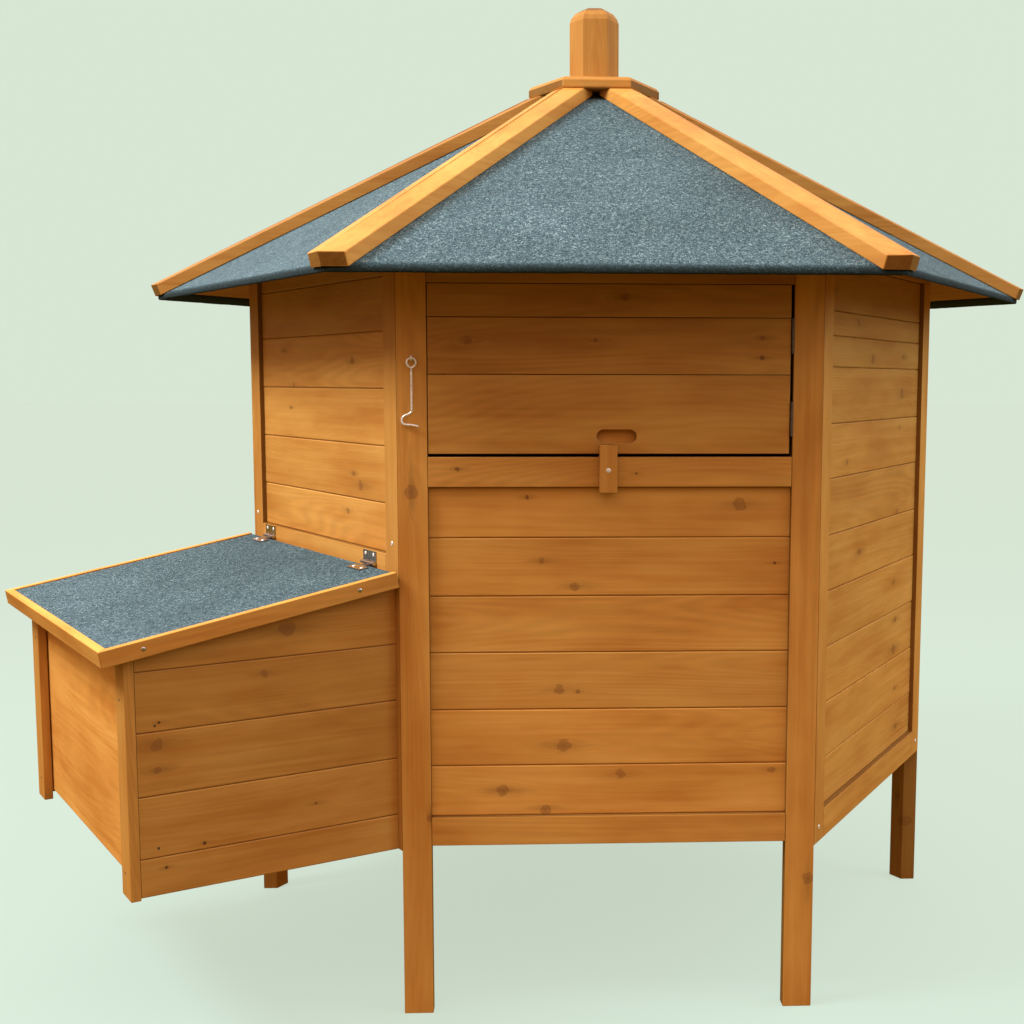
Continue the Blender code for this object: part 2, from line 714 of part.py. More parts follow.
def add_roof():
    for index, wall in enumerate(WALLS):
        name = "roof_panel_" + wall
        add_piece(name, roof_panel_mesh(name), wall_frame(index), FELT)
    cap_z = cap_underside()
    trim = box_mesh("cap_clearance", (-0.2, -0.2, cap_z - FIT), (0.2, 0.2, cap_z + 0.2))
    trim = add_cutter("cap_clearance_cutter", trim, Matrix())
    for index, corner in enumerate(CORNERS):
        name = "hip_batten_" + corner
        boolean(add_piece(name, batten_mesh(name), hip_frame(index), WOOD), trim)


def add_cap_and_finial():
    low = cap_underside()
    top = low + CAP_T
    profile = [
        (0, top),
        (CAP_R - 0.014, top),
        (CAP_R - 0.004, top - 0.006),
        (CAP_R, top - 0.011),
        (CAP_R, low + 0.002),
        (CAP_R - 0.003, low),
        (0, low),
    ]
    turned_piece("cap_plate", profile, 6, Matrix(), WOOD)
    rise = FINIAL_TOP - FINIAL_SHOULDER
    dome = [(FINIAL_R * sin(a), FINIAL_SHOULDER + rise * cos(a)) for a in (radians(18 * k) for k in range(6))]
    turned_piece("finial", [*dome, (FINIAL_R, top + FIT), (0, top + FIT)], 6, Matrix(), WOOD)


# Inside the house and behind it


def add_floor_and_perch():
    floor_z = FRONT_RAIL[0] + 0.001
    mesh = prism_mesh("floor", [hexagon(INNER_APOTHEM - FIT)], BOARD_T)
    add_piece("floor", mesh, Matrix.Translation((0, 0, floor_z + BOARD_T / 2)), WOOD)
    near, far, low, height = 0.100, 0.135, 0.500, 0.030
    reach = APOTHEM - BOARD_Y[1] - FIT
    half = [(reach - y * sin(HALF_HEX)) / cos(HALF_HEX) for y in (near, far)]
    outline = [(-half[0], near), (half[0], near), (half[1], far), (-half[1], far)]
    mesh = prism_mesh("perch", [outline], height)
    add_piece("perch", mesh, Matrix.Translation((0, 0, low + height / 2)), WOOD)


def add_ramp_door():
    """The hens' door: it lets down about its lower edge to stand on the ground as their ramp."""
    axis = add_empty("ramp_axis", BACK @ Vector((SIDE / 2, *RAMP_AXIS)), ORIGIN)
    left, right = DOORWAY_X[0] - RAMP_LAP, DOORWAY_X[1] + RAMP_LAP
    top = DOORWAY_Z[1] + RAMP_LAP
    front = RAMP_BACK - RAMP_T
    parts = [box_mesh("ramp_door", (left, front, RAMP_LOW), (right, RAMP_BACK, top))]
    for k in range(CLEATS):
        z = RAMP_LOW + 0.045 + 0.066 * k
        low = (DOORWAY_X[0] + 0.008, RAMP_BACK - 0.002, z - 0.007)
        high = (DOORWAY_X[1] - 0.008, RAMP_BACK + 0.010, z + 0.007)
        parts.append(box_mesh("cleat", low, high))
    add_piece("ramp_door", joined_mesh("ramp_door", parts), BACK, WOOD, axis)


def add_ramp_hinge():
    """A long hinge on the rail's face: leaf and knuckle in one."""
    low, high = DOORWAY_X[0] + 0.010, DOORWAY_X[1] - 0.010
    turn = Matrix.Rotation(radians(90), 4, "Y")
    place = Matrix.Translation((low, *RAMP_AXIS)) @ turn
    knuckle = moved(rod_mesh("ramp_hinge", RAMP_KNUCKLE_R, high - low), place)
    low, high = low + FIT, high - FIT
    leaf_y = (-FIT - HINGE_LEAF_T, -FIT)
    leaf = box_mesh("ramp_hinge", (low, leaf_y[0], RAIL_TOP - 0.026), (high, leaf_y[1], RAMP_AXIS[1]))
    tongue_low = (low, RAMP_AXIS[0], RAMP_AXIS[1] - RAMP_KNUCKLE_R + FIT)
    tongue = box_mesh("ramp_hinge", tongue_low, (high, leaf_y[1], RAMP_AXIS[1] - FIT))
    add_piece("ramp_hinge", joined_mesh("ramp_hinge", [knuckle, leaf, tongue]), BACK, ZINC)


def add_ramp_button():
    """A turn button over the ramp door's upper edge, on a boss that stands on the boards."""
    width, thickness, height = BUTTON
    back = RAMP_BACK - RAMP_T - 0.0015
    middle = Vector((SIDE / 2, back, RAMP_BUTTON_Z))
    axis = add_empty("ramp_button_axis", BACK @ middle, ORIGIN)
    low = (-width / 2, -thickness, BUTTON_LOW - height)
    high = (width / 2, 0, BUTTON_LOW)
    turn = Matrix.Rotation(radians(-90), 4, "X")
    boss = moved(rod_mesh("ramp_button", 0.008, SET_BACK - FIT - back + 0.002), turn)
    boss = moved(boss, Matrix.Translation((0, -0.002, 0)))
    mesh = joined_mesh("ramp_button", [box_mesh("ramp_button", low, high), boss])
    add_piece("ramp_button", mesh, BACK @ Matrix.Translation(middle), WOOD, axis)


clear_scene()
COOP = new_collection("hexagonal_chicken_coop")
CUTTERS = new_collection("cutters")
WOOD = new_material("stained_fir", (0.62, 0.31, 0.10), 0.45)
FELT = new_material("mineral_roof_felt", (0.16, 0.22, 0.23), 0.95)
ZINC = new_material("zinc_plated_steel", (0.62, 0.62, 0.60), 0.35, 1.0)
ORIGIN = add_empty("coop_origin", -footprint_middle())

add_stiles()
add_visible_walls()
add_back_side_walls()
add_back_wall()
add_wall_plate()
add_door()
add_door_hinges()
add_turn_button()
add_hook()
add_hook_screw()
add_nest_box()
add_lid()
add_roof()
add_cap_and_finial()
add_floor_and_perch()
add_ramp_door()
add_ramp_hinge()
add_ramp_button()
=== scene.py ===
"""The looks of a hexagonal timber hen house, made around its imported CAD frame. Metres, +Z up.

Each timber is a separate piece with its own grain and stands for the CAD solid that it replaces.
A wall's own frame has x along the wall from its left end as seen from outside, y into the house from
the outer face of the frame timber, and z up.
"""

from math import acos, cos, pi, radians, sin, sqrt, tan
from random import Random

import bmesh
import bpy
from mathutils import Matrix, Vector, noise


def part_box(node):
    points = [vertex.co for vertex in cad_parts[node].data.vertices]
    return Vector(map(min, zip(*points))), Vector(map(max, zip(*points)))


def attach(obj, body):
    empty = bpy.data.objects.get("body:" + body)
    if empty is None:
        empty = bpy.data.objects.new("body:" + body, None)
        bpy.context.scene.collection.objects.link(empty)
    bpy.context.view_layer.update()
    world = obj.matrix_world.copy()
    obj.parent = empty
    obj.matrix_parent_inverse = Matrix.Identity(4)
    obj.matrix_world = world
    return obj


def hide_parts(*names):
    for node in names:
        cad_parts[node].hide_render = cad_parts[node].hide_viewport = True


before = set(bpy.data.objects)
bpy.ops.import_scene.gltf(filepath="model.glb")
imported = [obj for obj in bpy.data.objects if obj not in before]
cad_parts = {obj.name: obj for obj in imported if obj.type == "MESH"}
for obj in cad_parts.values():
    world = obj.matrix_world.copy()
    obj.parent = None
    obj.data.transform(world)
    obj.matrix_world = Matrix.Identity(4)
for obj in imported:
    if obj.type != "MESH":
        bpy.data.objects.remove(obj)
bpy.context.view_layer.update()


def heights(node):
    low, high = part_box(node)
    return low.z, high.z


# Sizes that the frame gives
PLATE_LOW, PLATE_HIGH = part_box("wall_plate")
CENTRE = Vector(((PLATE_LOW.x + PLATE_HIGH.x) / 2, (PLATE_LOW.y + PLATE_HIGH.y) / 2, 0))
SIDE = (PLATE_HIGH.x - PLATE_LOW.x) / 2
STILE_TOP = heights("leg_front_left")[1]
UNDERSIDE = heights("right_wall_stile_front")[0]
RAIL = heights("right_wall_bottom_rail")
FRONT_RAIL = heights("front_bottom_rail")
SILL_RAIL = heights("front_sill_rail")
HINGE_RAIL = heights("nest_wall_hinge_rail")
STOCK_W = SILL_RAIL[1] - SILL_RAIL[0]
STOCK_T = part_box("front_sill_rail")[1].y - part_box("front_sill_rail")[0].y
DOOR_Z = heights("door")
DOOR_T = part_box("door")[1].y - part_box("door")[0].y
LEDGE_Z = heights("door_ledges")
FLOOR_Z = heights("floor")
PERCH_Z = heights("perch")
RAMP_Z = heights("ramp_door")
CAP_Z = heights("cap_plate")
CAP_R = (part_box("cap_plate")[1].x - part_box("cap_plate")[0].x) / 2
FINIAL_Z = heights("finial")
FINIAL_R = (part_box("finial")[1].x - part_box("finial")[0].x) / 2
EAVE_Z = heights("roof_panel_front")[0]
EAVE_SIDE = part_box("roof_panel_front")[1].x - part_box("roof_panel_front")[0].x
BATTEN_TIP_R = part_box("hip_batten_right")[1].x - CENTRE.x
BATTEN_HALF = (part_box("hip_batten_right")[1].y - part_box("hip_batten_right")[0].y) / 2

# Sizes of its own
GAP = 0.0003
SET_BACK = 0.008
BOARD_T = 0.012
BOARD_GAP = 0.0010  # between the faces of two boards
CHAMFER = 0.0015
EDGE = 0.0011  # rounding of planed timber
ROOF_SLOPE = 0.565
ROOF_T = 0.0097
FELT_T = 0.0028
PEAK_APOTHEM = 0.070
BATTEN_T = 0.020
BATTEN_FOOT_R = 0.066
BATTEN_END_TILT = 0.0075
NEST_DEPTH = 0.394
NEST_SIDE_X = 0.012
NEST_POST = (0.0445, 0.014)
NEST_PANEL_OUT = NEST_DEPTH - 0.016
LID_SLOPE = radians(9.92)
LID_TOP = (0.009, 0.675)
LID_REACH = 0.4305
LID_EDGE_X = -0.010
LID_RAIL = (0.013, 0.023)
LID_FELT_DROP = 0.002
LID_PANEL_T = 0.012
LID_HINGE_X = (0.063, 0.496)
LID_HINGE_L = 0.047
DOOR_X = (STOCK_W + 0.001, SIDE - STOCK_W - 0.0047)
HAND_SLOT = (0.058, 0.0195)
HAND_SLOT_AT = (SIDE / 2 + 0.008, 0.8718)
BUTTON = (0.0257, 0.015, 0.070)
BUTTON_AT = (SIDE / 2 - 0.0045, 0.823)
BUTTON_LOW = 0.033
HOOK_AT = (0.0224, 0.9775)
HOOK_RING_R = 0.0065
HOOK_WIRE_R = 0.0015
HOOK_OUT = 0.0050
EYE_R = 0.0033
EYE_WIRE_R = 0.00135
EYE_COLLAR_R = 0.0022
DOORWAY_X = (0.200, 0.420)
DOORWAY_Z = (RAIL[1], 0.740)

# Where the joints between the boards are, from the bottom up
FRONT_LINES = (0.381, 0.466, 0.552, 0.6365, 0.723)
PLAIN_LINES = (0.3735, 0.460, 0.5465, 0.633, 0.7185, 0.805, 0.888, 0.9735, 1.0205, 1.0575)
NEST_WALL_LINES = (0.770, 0.855, 0.940, 1.0245, 1.104)
NEST_SIDE_LINES = (0.307, 0.393, 0.481, 0.565)
DOOR_LINES = (0.961, 1.043)

# Light
KEY_POWER = 131
FILL_POWER = 57
GROUND_LIGHT = (0.28, 0.175, 0.03)
HORIZON_LIGHT = (0.36, 0.145, 0.05)
ZENITH_LIGHT = (2.25, 1.72, 1.52)
BACKDROP = (0.686, 0.791, 0.658)

# Worked out
HEX = radians(60)
HALF_HEX = radians(30)
APOTHEM = SIDE * cos(HALF_HEX)
INNER_APOTHEM = APOTHEM - STOCK_T
EAVE_APOTHEM = EAVE_SIDE * cos(HALF_HEX)
PANEL_X = (STOCK_W + GAP, SIDE - STOCK_W - GAP)
PLATE_BOTTOM = STILE_TOP + GAP

WALLS = ("front", "right", "back_right", "back", "back_left", "nest")
CORNERS = ("front_left", "front_right", "right", "back_right", "back_left", "left")
MOST_KNOTS = 4

ALONG_WALL = Matrix(((0, 0, 1, 0), (1, 0, 0, 0), (0, 1, 0, 0), (0, 0, 0, 1)))
FACING = Matrix(((1, 0, 0, 0), (0, 0, -1, 0), (0, 1, 0, 0), (0, 0, 0, 1)))
UPRIGHT = Matrix()
HOUSE = Matrix.Translation(CENTRE)


def wall_frame(index):
    turn = Matrix.Rotation(index * HEX, 4, "Z")
    return HOUSE @ turn @ Matrix.Translation((-SIDE / 2, -APOTHEM, 0))


def hip_frame(index):
    return HOUSE @ Matrix.Rotation(index * HEX - radians(120), 4, "Z")


FRONT, RIGHT, BACK, NEST = (wall_frame(WALLS.index(name)) for name in ("front", "right", "back", "nest"))
LID = NEST @ Matrix.Translation((0, -LID_TOP[0], LID_TOP[1])) @ Matrix.Rotation(LID_SLOPE, 4, "X")


# Materials


class Shader:
    """The nodes of a material or a world, made one call at a time. Inputs are values or outputs."""

    def __init__(self, owner):
        owner.use_nodes = True
        self.owner = owner
        self.tree = owner.node_tree
        self.surface = next(node for node in self.tree.nodes if not node.name.endswith("Output"))

    def put(self, socket, value):
        if isinstance(value, bpy.types.NodeSocket):
            self.tree.links.new(value, socket)
        else:
            socket.default_value = (*value, 1) if socket.type == "RGBA" and len(value) == 3 else value

    def node(self, kind, inputs=(), **settings):
        node = self.tree.nodes.new(kind)
        for key, value in settings.items():
            setattr(node, key, value)
        for socket, value in zip(node.inputs, inputs):
            if value is not None:
                self.put(socket, value)
        return node

    def math(self, operation, *values, clamp=False):
        return self.node("ShaderNodeMath", values, operation=operation, use_clamp=clamp).outputs[0]

    def vector_math(self, operation, *values):
        return self.node("ShaderNodeVectorMath", values, operation=operation).outputs[0]

    def attribute(self, name, output="Vector"):
        return self.node("ShaderNodeAttribute", attribute_name=name).outputs[output]

    def split(self, vector):
        return self.node("ShaderNodeSeparateXYZ", (vector,)).outputs[:3]

    def noise(self, vector, scale, detail=2.0, roughness=0.5):
        """Noise from 0 to 1, stretched by a scale for each axis."""
        stretched = self.vector_math("MULTIPLY", vector, scale)
        node = self.node("ShaderNodeTexNoise")
        self.put(node.inputs["Vector"], stretched)
        node.inputs["Scale"].default_value = 1
        node.inputs["Detail"].default_value = detail
        node.inputs["Roughness"].default_value = roughness
        return node.outputs["Fac"]

    def span(self, value, low, high, to_low=0.0, to_high=1.0, smooth=False):
        """The value's place between low and high, as a number from to_low to to_high."""
        kind = "SMOOTHSTEP" if smooth else "LINEAR"
        inputs = (value, low, high, to_low, to_high)
        return self.node("ShaderNodeMapRange", inputs, interpolation_type=kind).outputs[0]

    def ramp(self, factor, stops):
        node = self.node("ShaderNodeValToRGB", (factor,))
        elements = node.color_ramp.elements
        while len(elements) < len(stops):
            elements.new(0.5)
        for element, (place, colour) in zip(elements, stops):
            element.position = place
            element.color = (*colour, 1)
        return node.outputs["Color"]

    def mix(self, factor, first, second, blend="MIX"):
        node = self.node("ShaderNodeMix", data_type="RGBA", blend_type=blend)
        for name, value in (("Factor", factor), ("A", first), ("B", second)):
            socket = [s for s in node.inputs if s.name == name and s.enabled][0]
            self.put(socket, value)
        return [s for s in node.outputs if s.enabled][0]

    def bump(self, height, distance, strength=1.0):
        node = self.node("ShaderNodeBump")
        node.inputs["Strength"].default_value = strength
        node.inputs["Distance"].default_value = distance
        self.put(node.inputs["Height"], height)
        self.put(self.surface.inputs["Normal"], node.outputs["Normal"])

    def finish(self, **inputs):
        for name, value in inputs.items():
            self.put(self.surface.inputs[name.replace("_", " ")], value)
        return self.owner


def new_shader(name):
    return Shader(bpy.data.materials.new(name))


def knot_masks(shader, along, across, warp):
    """Four masks: a knot's wood, its rim, the grain that sweeps past it, and a resin hole's black."""
    core, rim, streak, hole = 0.0, 0.0, 0.0, 0.0
    for index in range(MOST_KNOTS):
        knot_along, knot_across, radius = shader.split(shader.attribute(f"knot_{index}"))
        size = shader.math("MAXIMUM", radius, 1e-5)
        step_along = shader.math("DIVIDE", shader.math("SUBTRACT", along, knot_along), size)
        step_across = shader.math("DIVIDE", shader.math("SUBTRACT", across, knot_across), size)
        squared = shader.math("MULTIPLY", step_across, step_across)
        distance = shader.math("SQRT", shader.math("MULTIPLY_ADD", step_along, step_along, squared))
        distance = shader.math("ADD", distance, warp)
        here = shader.span(distance, 1.25, 0.15, smooth=True)
        core = shader.math("MAXIMUM", core, here)
        small = shader.span(radius, 0.0036, 0.0026)
        hole = shader.math("MAXIMUM", hole, shader.math("MULTIPLY", here, small))
        off_rim = shader.math("ABSOLUTE", shader.math("SUBTRACT", distance, 0.86))
        rim = shader.math("MAXIMUM", rim, shader.span(off_rim, 0.34, 0.0, smooth=True))
        far_along = shader.math("MULTIPLY", step_along, 0.24)
        far = shader.math("MULTIPLY_ADD", far_along, far_along, shader.math("MULTIPLY", squared, 0.9))
        streak = shader.math("MAXIMUM", streak, shader.math("EXPONENT", shader.math("MULTIPLY", far, -1.0)))
        thin = shader.math("EXPONENT", shader.math("MULTIPLY", squared, -9.0))
        reach = shader.math("MULTIPLY", shader.span(step_along, 0.0, 1.0), shader.span(step_along, 8.0, 1.0))
        streak = shader.math("MAXIMUM", streak, shader.math("MULTIPLY", thin, reach))
    return core, rim, streak, hole


def stained_wood(name, dark, middle, light):
    """Fir stained honey-coloured. The grain attribute gives a point's place in its plank."""
    shader = new_shader(name)
    grain = shader.attribute("grain")
    along, across, _ = shader.split(grain)
    uneven = shader.noise(grain, (70.0, 130.0, 130.0), 2.0, 0.5)
    warp = shader.span(uneven, 0.25, 0.75, -0.42, 0.42)
    core, rim, streak, hole = knot_masks(shader, along, across, warp)

    # Growth rings are the contours of a slow noise, long along the plank, that a knot pushes aside.
    field = shader.noise(grain, (0.9, 8.5, 8.5), 1.0)
    field = shader.math("MULTIPLY_ADD", streak, 0.07, field)
    field = shader.math("MULTIPLY_ADD", shader.noise(grain, (14.0, 60.0, 60.0), 2.0), 0.012, field)
    rings = shader.math("MULTIPLY", shader.math("SINE", shader.math("MULTIPLY", field, 210.0)), 0.5)
    ring_depth = shader.span(shader.noise(grain, (1.3, 5.0, 5.0), 1.0), 0.35, 0.70, 0.0, 0.13)
    fibre = shader.noise(grain, (7.0, 520.0, 520.0), 3.0, 0.6)
    streaks = shader.noise(grain, (2.6, 95.0, 95.0), 4.0, 0.55)
    blotch = shader.noise(grain, (4.5, 15.0, 15.0), 3.0, 0.55)
    wash = shader.noise(grain, (1.4, 4.0, 4.0), 1.0)

    tint = shader.math("MULTIPLY_ADD", streaks, 0.35, shader.math("MULTIPLY", blotch, 0.65))
    colour = shader.ramp(tint, ((0.36, dark), (0.50, middle), (0.64, light)))
    tone = shader.span(shader.attribute("tone", "Fac"), -0.5, 1.5, 0.55, 1.39)
    tone = shader.math("MULTIPLY", tone, shader.span(wash, 0.3, 0.7, 0.93, 1.07))
    tone = shader.math("MULTIPLY", tone, shader.math("MULTIPLY_ADD", rings, ring_depth, 1.0))
    tone = shader.math("MULTIPLY", tone, shader.span(fibre, 0.3, 0.7, 0.965, 1.035))
    # Faces marked 1 are darker: end grain, which is stained darker, and painted shade on the sides facing into a
    # corner. Faces marked -1 are lighter: a painted highlight.
    tone = shader.math("MULTIPLY", tone, shader.span(shader.attribute("stain_and_painted_light", "Fac"), -1.0, 1.0, 1.55, 0.45))
    colour = shader.mix(1.0, colour, shader.node("ShaderNodeCombineXYZ", (tone,) * 3).outputs[0], "MULTIPLY")
    tail = shader.math("MULTIPLY", streak, shader.span(streaks, 0.35, 0.62, 0.05, 0.55))
    colour = shader.mix(tail, colour, tuple(0.42 * c for c in dark))
    colour = shader.mix(shader.math("MULTIPLY", rim, 0.34), colour, KNOT_RIM)
    colour = shader.mix(shader.math("MULTIPLY", core, 0.52), colour, KNOT_CORE)
    colour = shader.mix(shader.math("MULTIPLY", hole, 0.85), colour, RESIN)

    height = shader.math("MULTIPLY_ADD", rings, 0.4, fibre)
    shader.bump(shader.math("MULTIPLY_ADD", rim, -0.8, height), 0.0004, 0.30)
    roughness = shader.span(streaks, 0.3, 0.7, 0.44, 0.58)
    return shader.finish(Base_Color=colour, Roughness=roughness, Specular_IOR_Level=0.16)


def mineral_felt(name, dark, middle, light, bright):
    """Bitumen felt with crushed slate granules: each cell is one granule."""
    shader = new_shader(name)
    place = shader.node("ShaderNodeTexCoord").outputs["Object"]
    cells = shader.node("ShaderNodeTexVoronoi", feature="F1")
    shader.put(cells.inputs["Vector"], place)
    cells.inputs["Scale"].default_value = 640
    shade = shader.split(cells.outputs["Color"])[0]
    clumps = shader.noise(place, (170.0,) * 3, 2.0, 0.6)
    patches = shader.noise(place, (7.0,) * 3, 3.0, 0.55)
    value = shader.math("MULTIPLY_ADD", shade, 0.5, shader.math("MULTIPLY", clumps, 0.5))
    colour = shader.ramp(value, ((0.26, dark), (0.48, middle), (0.66, light), (0.78, bright)))
    tone = shader.span(patches, 0.3, 0.7, 0.84, 1.14)
    colour = shader.mix(1.0, colour, shader.node("ShaderNodeCombineXYZ", (tone,) * 3).outputs[0], "MULTIPLY")
    bare = shader.math("MULTIPLY_ADD", shade, 0.5, shader.attribute("bare", "Fac"))
    colour = shader.mix(shader.span(bare, 1.04, 1.14), colour, (0.018, 0.032, 0.034))
    round_tops = shader.math("SUBTRACT", 0.6, cells.outputs["Distance"])
    shader.bump(shader.math("MULTIPLY_ADD", shade, 0.7, round_tops), 0.0013, 0.75)
    return shader.finish(Base_Color=colour, Roughness=0.88, Specular_IOR_Level=0.12)


def zinc_plate(name, dark, light, metallic, roughness):
    shader = new_shader(name)
    place = shader.node("ShaderNodeTexCoord").outputs["Object"]
    mottle = shader.noise(place, (240.0,) * 3, 3.0, 0.6)
    colour = shader.ramp(mottle, ((0.3, dark), (0.7, light)))
    shader.bump(mottle, 0.0002, 0.3)
    rough = shader.span(mottle, 0.3, 0.7, roughness, roughness + 0.15)
    return shader.finish(Base_Color=colour, Metallic=metallic, Roughness=rough)


# Near-black steel: the dull steel of the nest nails, and painted shade on the door hinges, which show only through the
# door's gaps.
def dull_steel_and_painted_shade(name):
    shader = new_shader(name)
    place = shader.node("ShaderNodeTexCoord").outputs["Object"]
    mottle = shader.noise(place, (600.0,) * 3, 2.0)
    colour = shader.ramp(mottle, ((0.3, (0.05, 0.04, 0.032)), (0.7, (0.15, 0.12, 0.095))))
    return shader.finish(Base_Color=colour, Metallic=0.7, Roughness=0.55)


def plain_floor(name, colour, glow):
    """Lit from within by its own pale colour, so that it meets the backdrop without a line; shadows are faint on it."""
    shader = new_shader(name)
    own = tuple(glow * c for c in BACKDROP)
    return shader.finish(Base_Color=colour, Roughness=0.9, Specular_IOR_Level=0.0, Emission_Color=own, Emission_Strength=1.0)


KNOT_RIM = (0.125, 0.042, 0.014)
KNOT_CORE = (0.180, 0.066, 0.022)
RESIN = (0.020, 0.008, 0.004)
WOOD = stained_wood("stained_fir", (0.436, 0.179, 0.032), (0.508, 0.237, 0.048), (0.56, 0.284, 0.064))
SLATE = ((0.026, 0.050, 0.064), (0.062, 0.118, 0.142), (0.112, 0.192, 0.218), (0.27, 0.37, 0.39))
FELT = mineral_felt("mineral_roof_felt", *SLATE)
ZINC = zinc_plate("zinc_plated_steel", (0.74, 0.73, 0.70), (0.96, 0.95, 0.91), 0.45, 0.26)
HINGE_PLATE = zinc_plate("hinge_plate", (0.36, 0.35, 0.33), (0.58, 0.57, 0.54), 1.0, 0.16)
DULL_AND_PAINTED_SHADE = dull_steel_and_painted_shade("dull_steel_and_painted_shade")


# Meshes


def slab(outline, low, high, turn=UPRIGHT):
    """A closed solid: an outline in x and y between two heights, then turned to its place in a wall."""
    work = bmesh.new()
    face = work.faces.new([work.verts.new((x, y, low)) for x, y in outline])
    extruded = bmesh.ops.extrude_face_region(work, geom=[face])["geom"]
    top = [item for item in extruded if isinstance(item, bmesh.types.BMVert)]
    bmesh.ops.translate(work, vec=(0, 0, high - low), verts=top)
    bmesh.ops.transform(work, matrix=turn, verts=work.verts)
    bmesh.ops.recalc_face_normals(work, faces=work.faces)
    return work


def block(low, high):
    return slab([(low[0], low[1]), (high[0], low[1]), (high[0], high[1]), (low[0], high[1])], low[2], high[2])


def soften(work, width=EDGE, segments=2, least_angle=radians(20)):
    """Rounds every edge that the plane or the saw left sharp."""
    sharp = [edge for edge in work.edges if edge.calc_face_angle(0) > least_angle]
    bmesh.ops.bevel(work, geom=sharp, offset=width, segments=segments, affect="EDGES", profile=0.5)
    return work


def slice_above(work, point, normal):
    """Cuts off what is on the normal's side of a plane and closes the cut."""
    everything = work.verts[:] + work.edges[:] + work.faces[:]
    bmesh.ops.bisect_plane(work, geom=everything, plane_co=point, plane_no=normal, clear_outer=True)
    open_edges = [edge for edge in work.edges if edge.is_boundary]
    if open_edges:
        bmesh.ops.holes_fill(work, edges=open_edges)
        bmesh.ops.recalc_face_normals(work, faces=work.faces)
    return work


def mesh_from(name, work):
    mesh = bpy.data.meshes.new(name)
    work.to_mesh(mesh)
    work.free()
    return mesh


def combine(name, mesh, others, operation="DIFFERENCE"):
    """The mesh after a Boolean with each of the others."""
    main = bpy.data.objects.new(name, mesh)
    helpers = [bpy.data.objects.new(name + "_helper", other) for other in others]
    for obj in (main, *helpers):
        bpy.context.scene.collection.objects.link(obj)
    for helper in helpers:
        modifier = main.modifiers.new("cut", "BOOLEAN")
        modifier.operation = operation
        modifier.solver = "EXACT"
        modifier.object = helper
    graph = bpy.context.evaluated_depsgraph_get()
    result = bpy.data.meshes.new_from_object(main.evaluated_get(graph))
    for obj in (main, *helpers):
        bpy.data.objects.remove(obj)
    return result


def curve_mesh(name, splines, cyclic=False, **settings):
    """The solid mesh of a curve. Points are in x, y and z."""
    curve = bpy.data.curves.new(name, "CURVE")
    for key, value in settings.items():
        setattr(curve, key, value)
    for points in splines:
        spline = curve.splines.new("POLY")
        spline.points.add(len(points) - 1)
        for point, place in zip(spline.points, points):
            point.co = (*place, 1)
        spline.use_cyclic_u = cyclic
    guide = bpy.data.objects.new(name, curve)
    bpy.context.scene.collection.objects.link(guide)
    graph = bpy.context.evaluated_depsgraph_get()
    mesh = bpy.data.meshes.new_from_object(guide.evaluated_get(graph))
    bpy.data.objects.remove(guide)
    work = bmesh.new()
    work.from_mesh(mesh)
    bmesh.ops.remove_doubles(work, verts=work.verts, dist=1e-6)
    bmesh.ops.recalc_face_normals(work, faces=work.faces)
    work.to_mesh(mesh)
    work.free()
    mesh.materials.clear()
    return mesh


def plate_mesh(name, outlines, thickness, edge, turn=UPRIGHT):
    """Outlines, the inner ones being holes, thickened about their plane with rounded edges."""
    splines = [[(x, y, 0) for x, y in outline] for outline in outlines]
    mesh = curve_mesh(
        name,
        splines,
        cyclic=True,
        dimensions="2D",
        fill_mode="BOTH",
        extrude=thickness / 2 - edge,
        bevel_depth=edge,
        bevel_resolution=1,
        offset=-edge,
    )
    mesh.transform(turn)
    return mesh


def stadium(width, height, centre, steps=10):
    radius = height / 2
    reach = width / 2 - radius
    points = []
    for side, start in ((1, -pi / 2), (-1, pi / 2)):
        for k in range(steps + 1):
            angle = start + pi * k / steps
            points.append((centre[0] + side * reach + radius * cos(angle), centre[1] + radius * sin(angle)))
    return points


# Pieces


def mark_grain(mesh, name, along, knots, tone, corner):
    """Stores each vertex's place in its plank: along, across and through it, shifted by a seeded amount.

    End grain is stained darker; the sides that look into a corner are darkened as painted shade.
    """
    order = {"x": (0, 2, 1), "y": (1, 2, 0), "z": (2, 0, 1)}[along]
    rng = Random(name)
    shift = [rng.uniform(0, 9) for _ in range(3)]
    chosen_tone = rng.random() if tone is None else tone
    axis = order[0]
    grain = mesh.attributes.new("grain", "FLOAT_VECTOR", "POINT")
    for vertex in mesh.vertices:
        grain.data[vertex.index].vector = [vertex.co[a] + s for a, s in zip(order, shift)]
    for index in range(MOST_KNOTS):
        here = knots[index] if index < len(knots) else (0, 0, 0)
        value = (here[0] + shift[0], here[1] + shift[1], here[2])
        attribute = mesh.attributes.new(f"knot_{index}", "FLOAT_VECTOR", "POINT")
        for item in attribute.data:
            item.vector = value
    tones = mesh.attributes.new("tone", "FLOAT", "POINT")
    for item in tones.data:
        item.value = chosen_tone
    # 1 darkens a face: end grain, which is stained darker, and painted shade on the sides facing into a corner.
    stain_and_painted_light = mesh.attributes.new("stain_and_painted_light", "FLOAT", "FACE")
    for face in mesh.polygons:
        darker_face = abs(face.normal[axis]) > 0.8 or (corner is not None and abs(face.normal[corner]) > 0.9)
        stain_and_painted_light.data[face.index].value = 1.0 if darker_face else 0.0


def add_piece(name, mesh, place, material, body, nodes=()):
    mesh.materials.clear()
    mesh.materials.append(material)
    mesh.transform(place)
    piece = bpy.data.objects.new(name, mesh)
    bpy.context.scene.collection.objects.link(piece)
    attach(piece, body)
    if nodes:
        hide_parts(*nodes)
    return piece


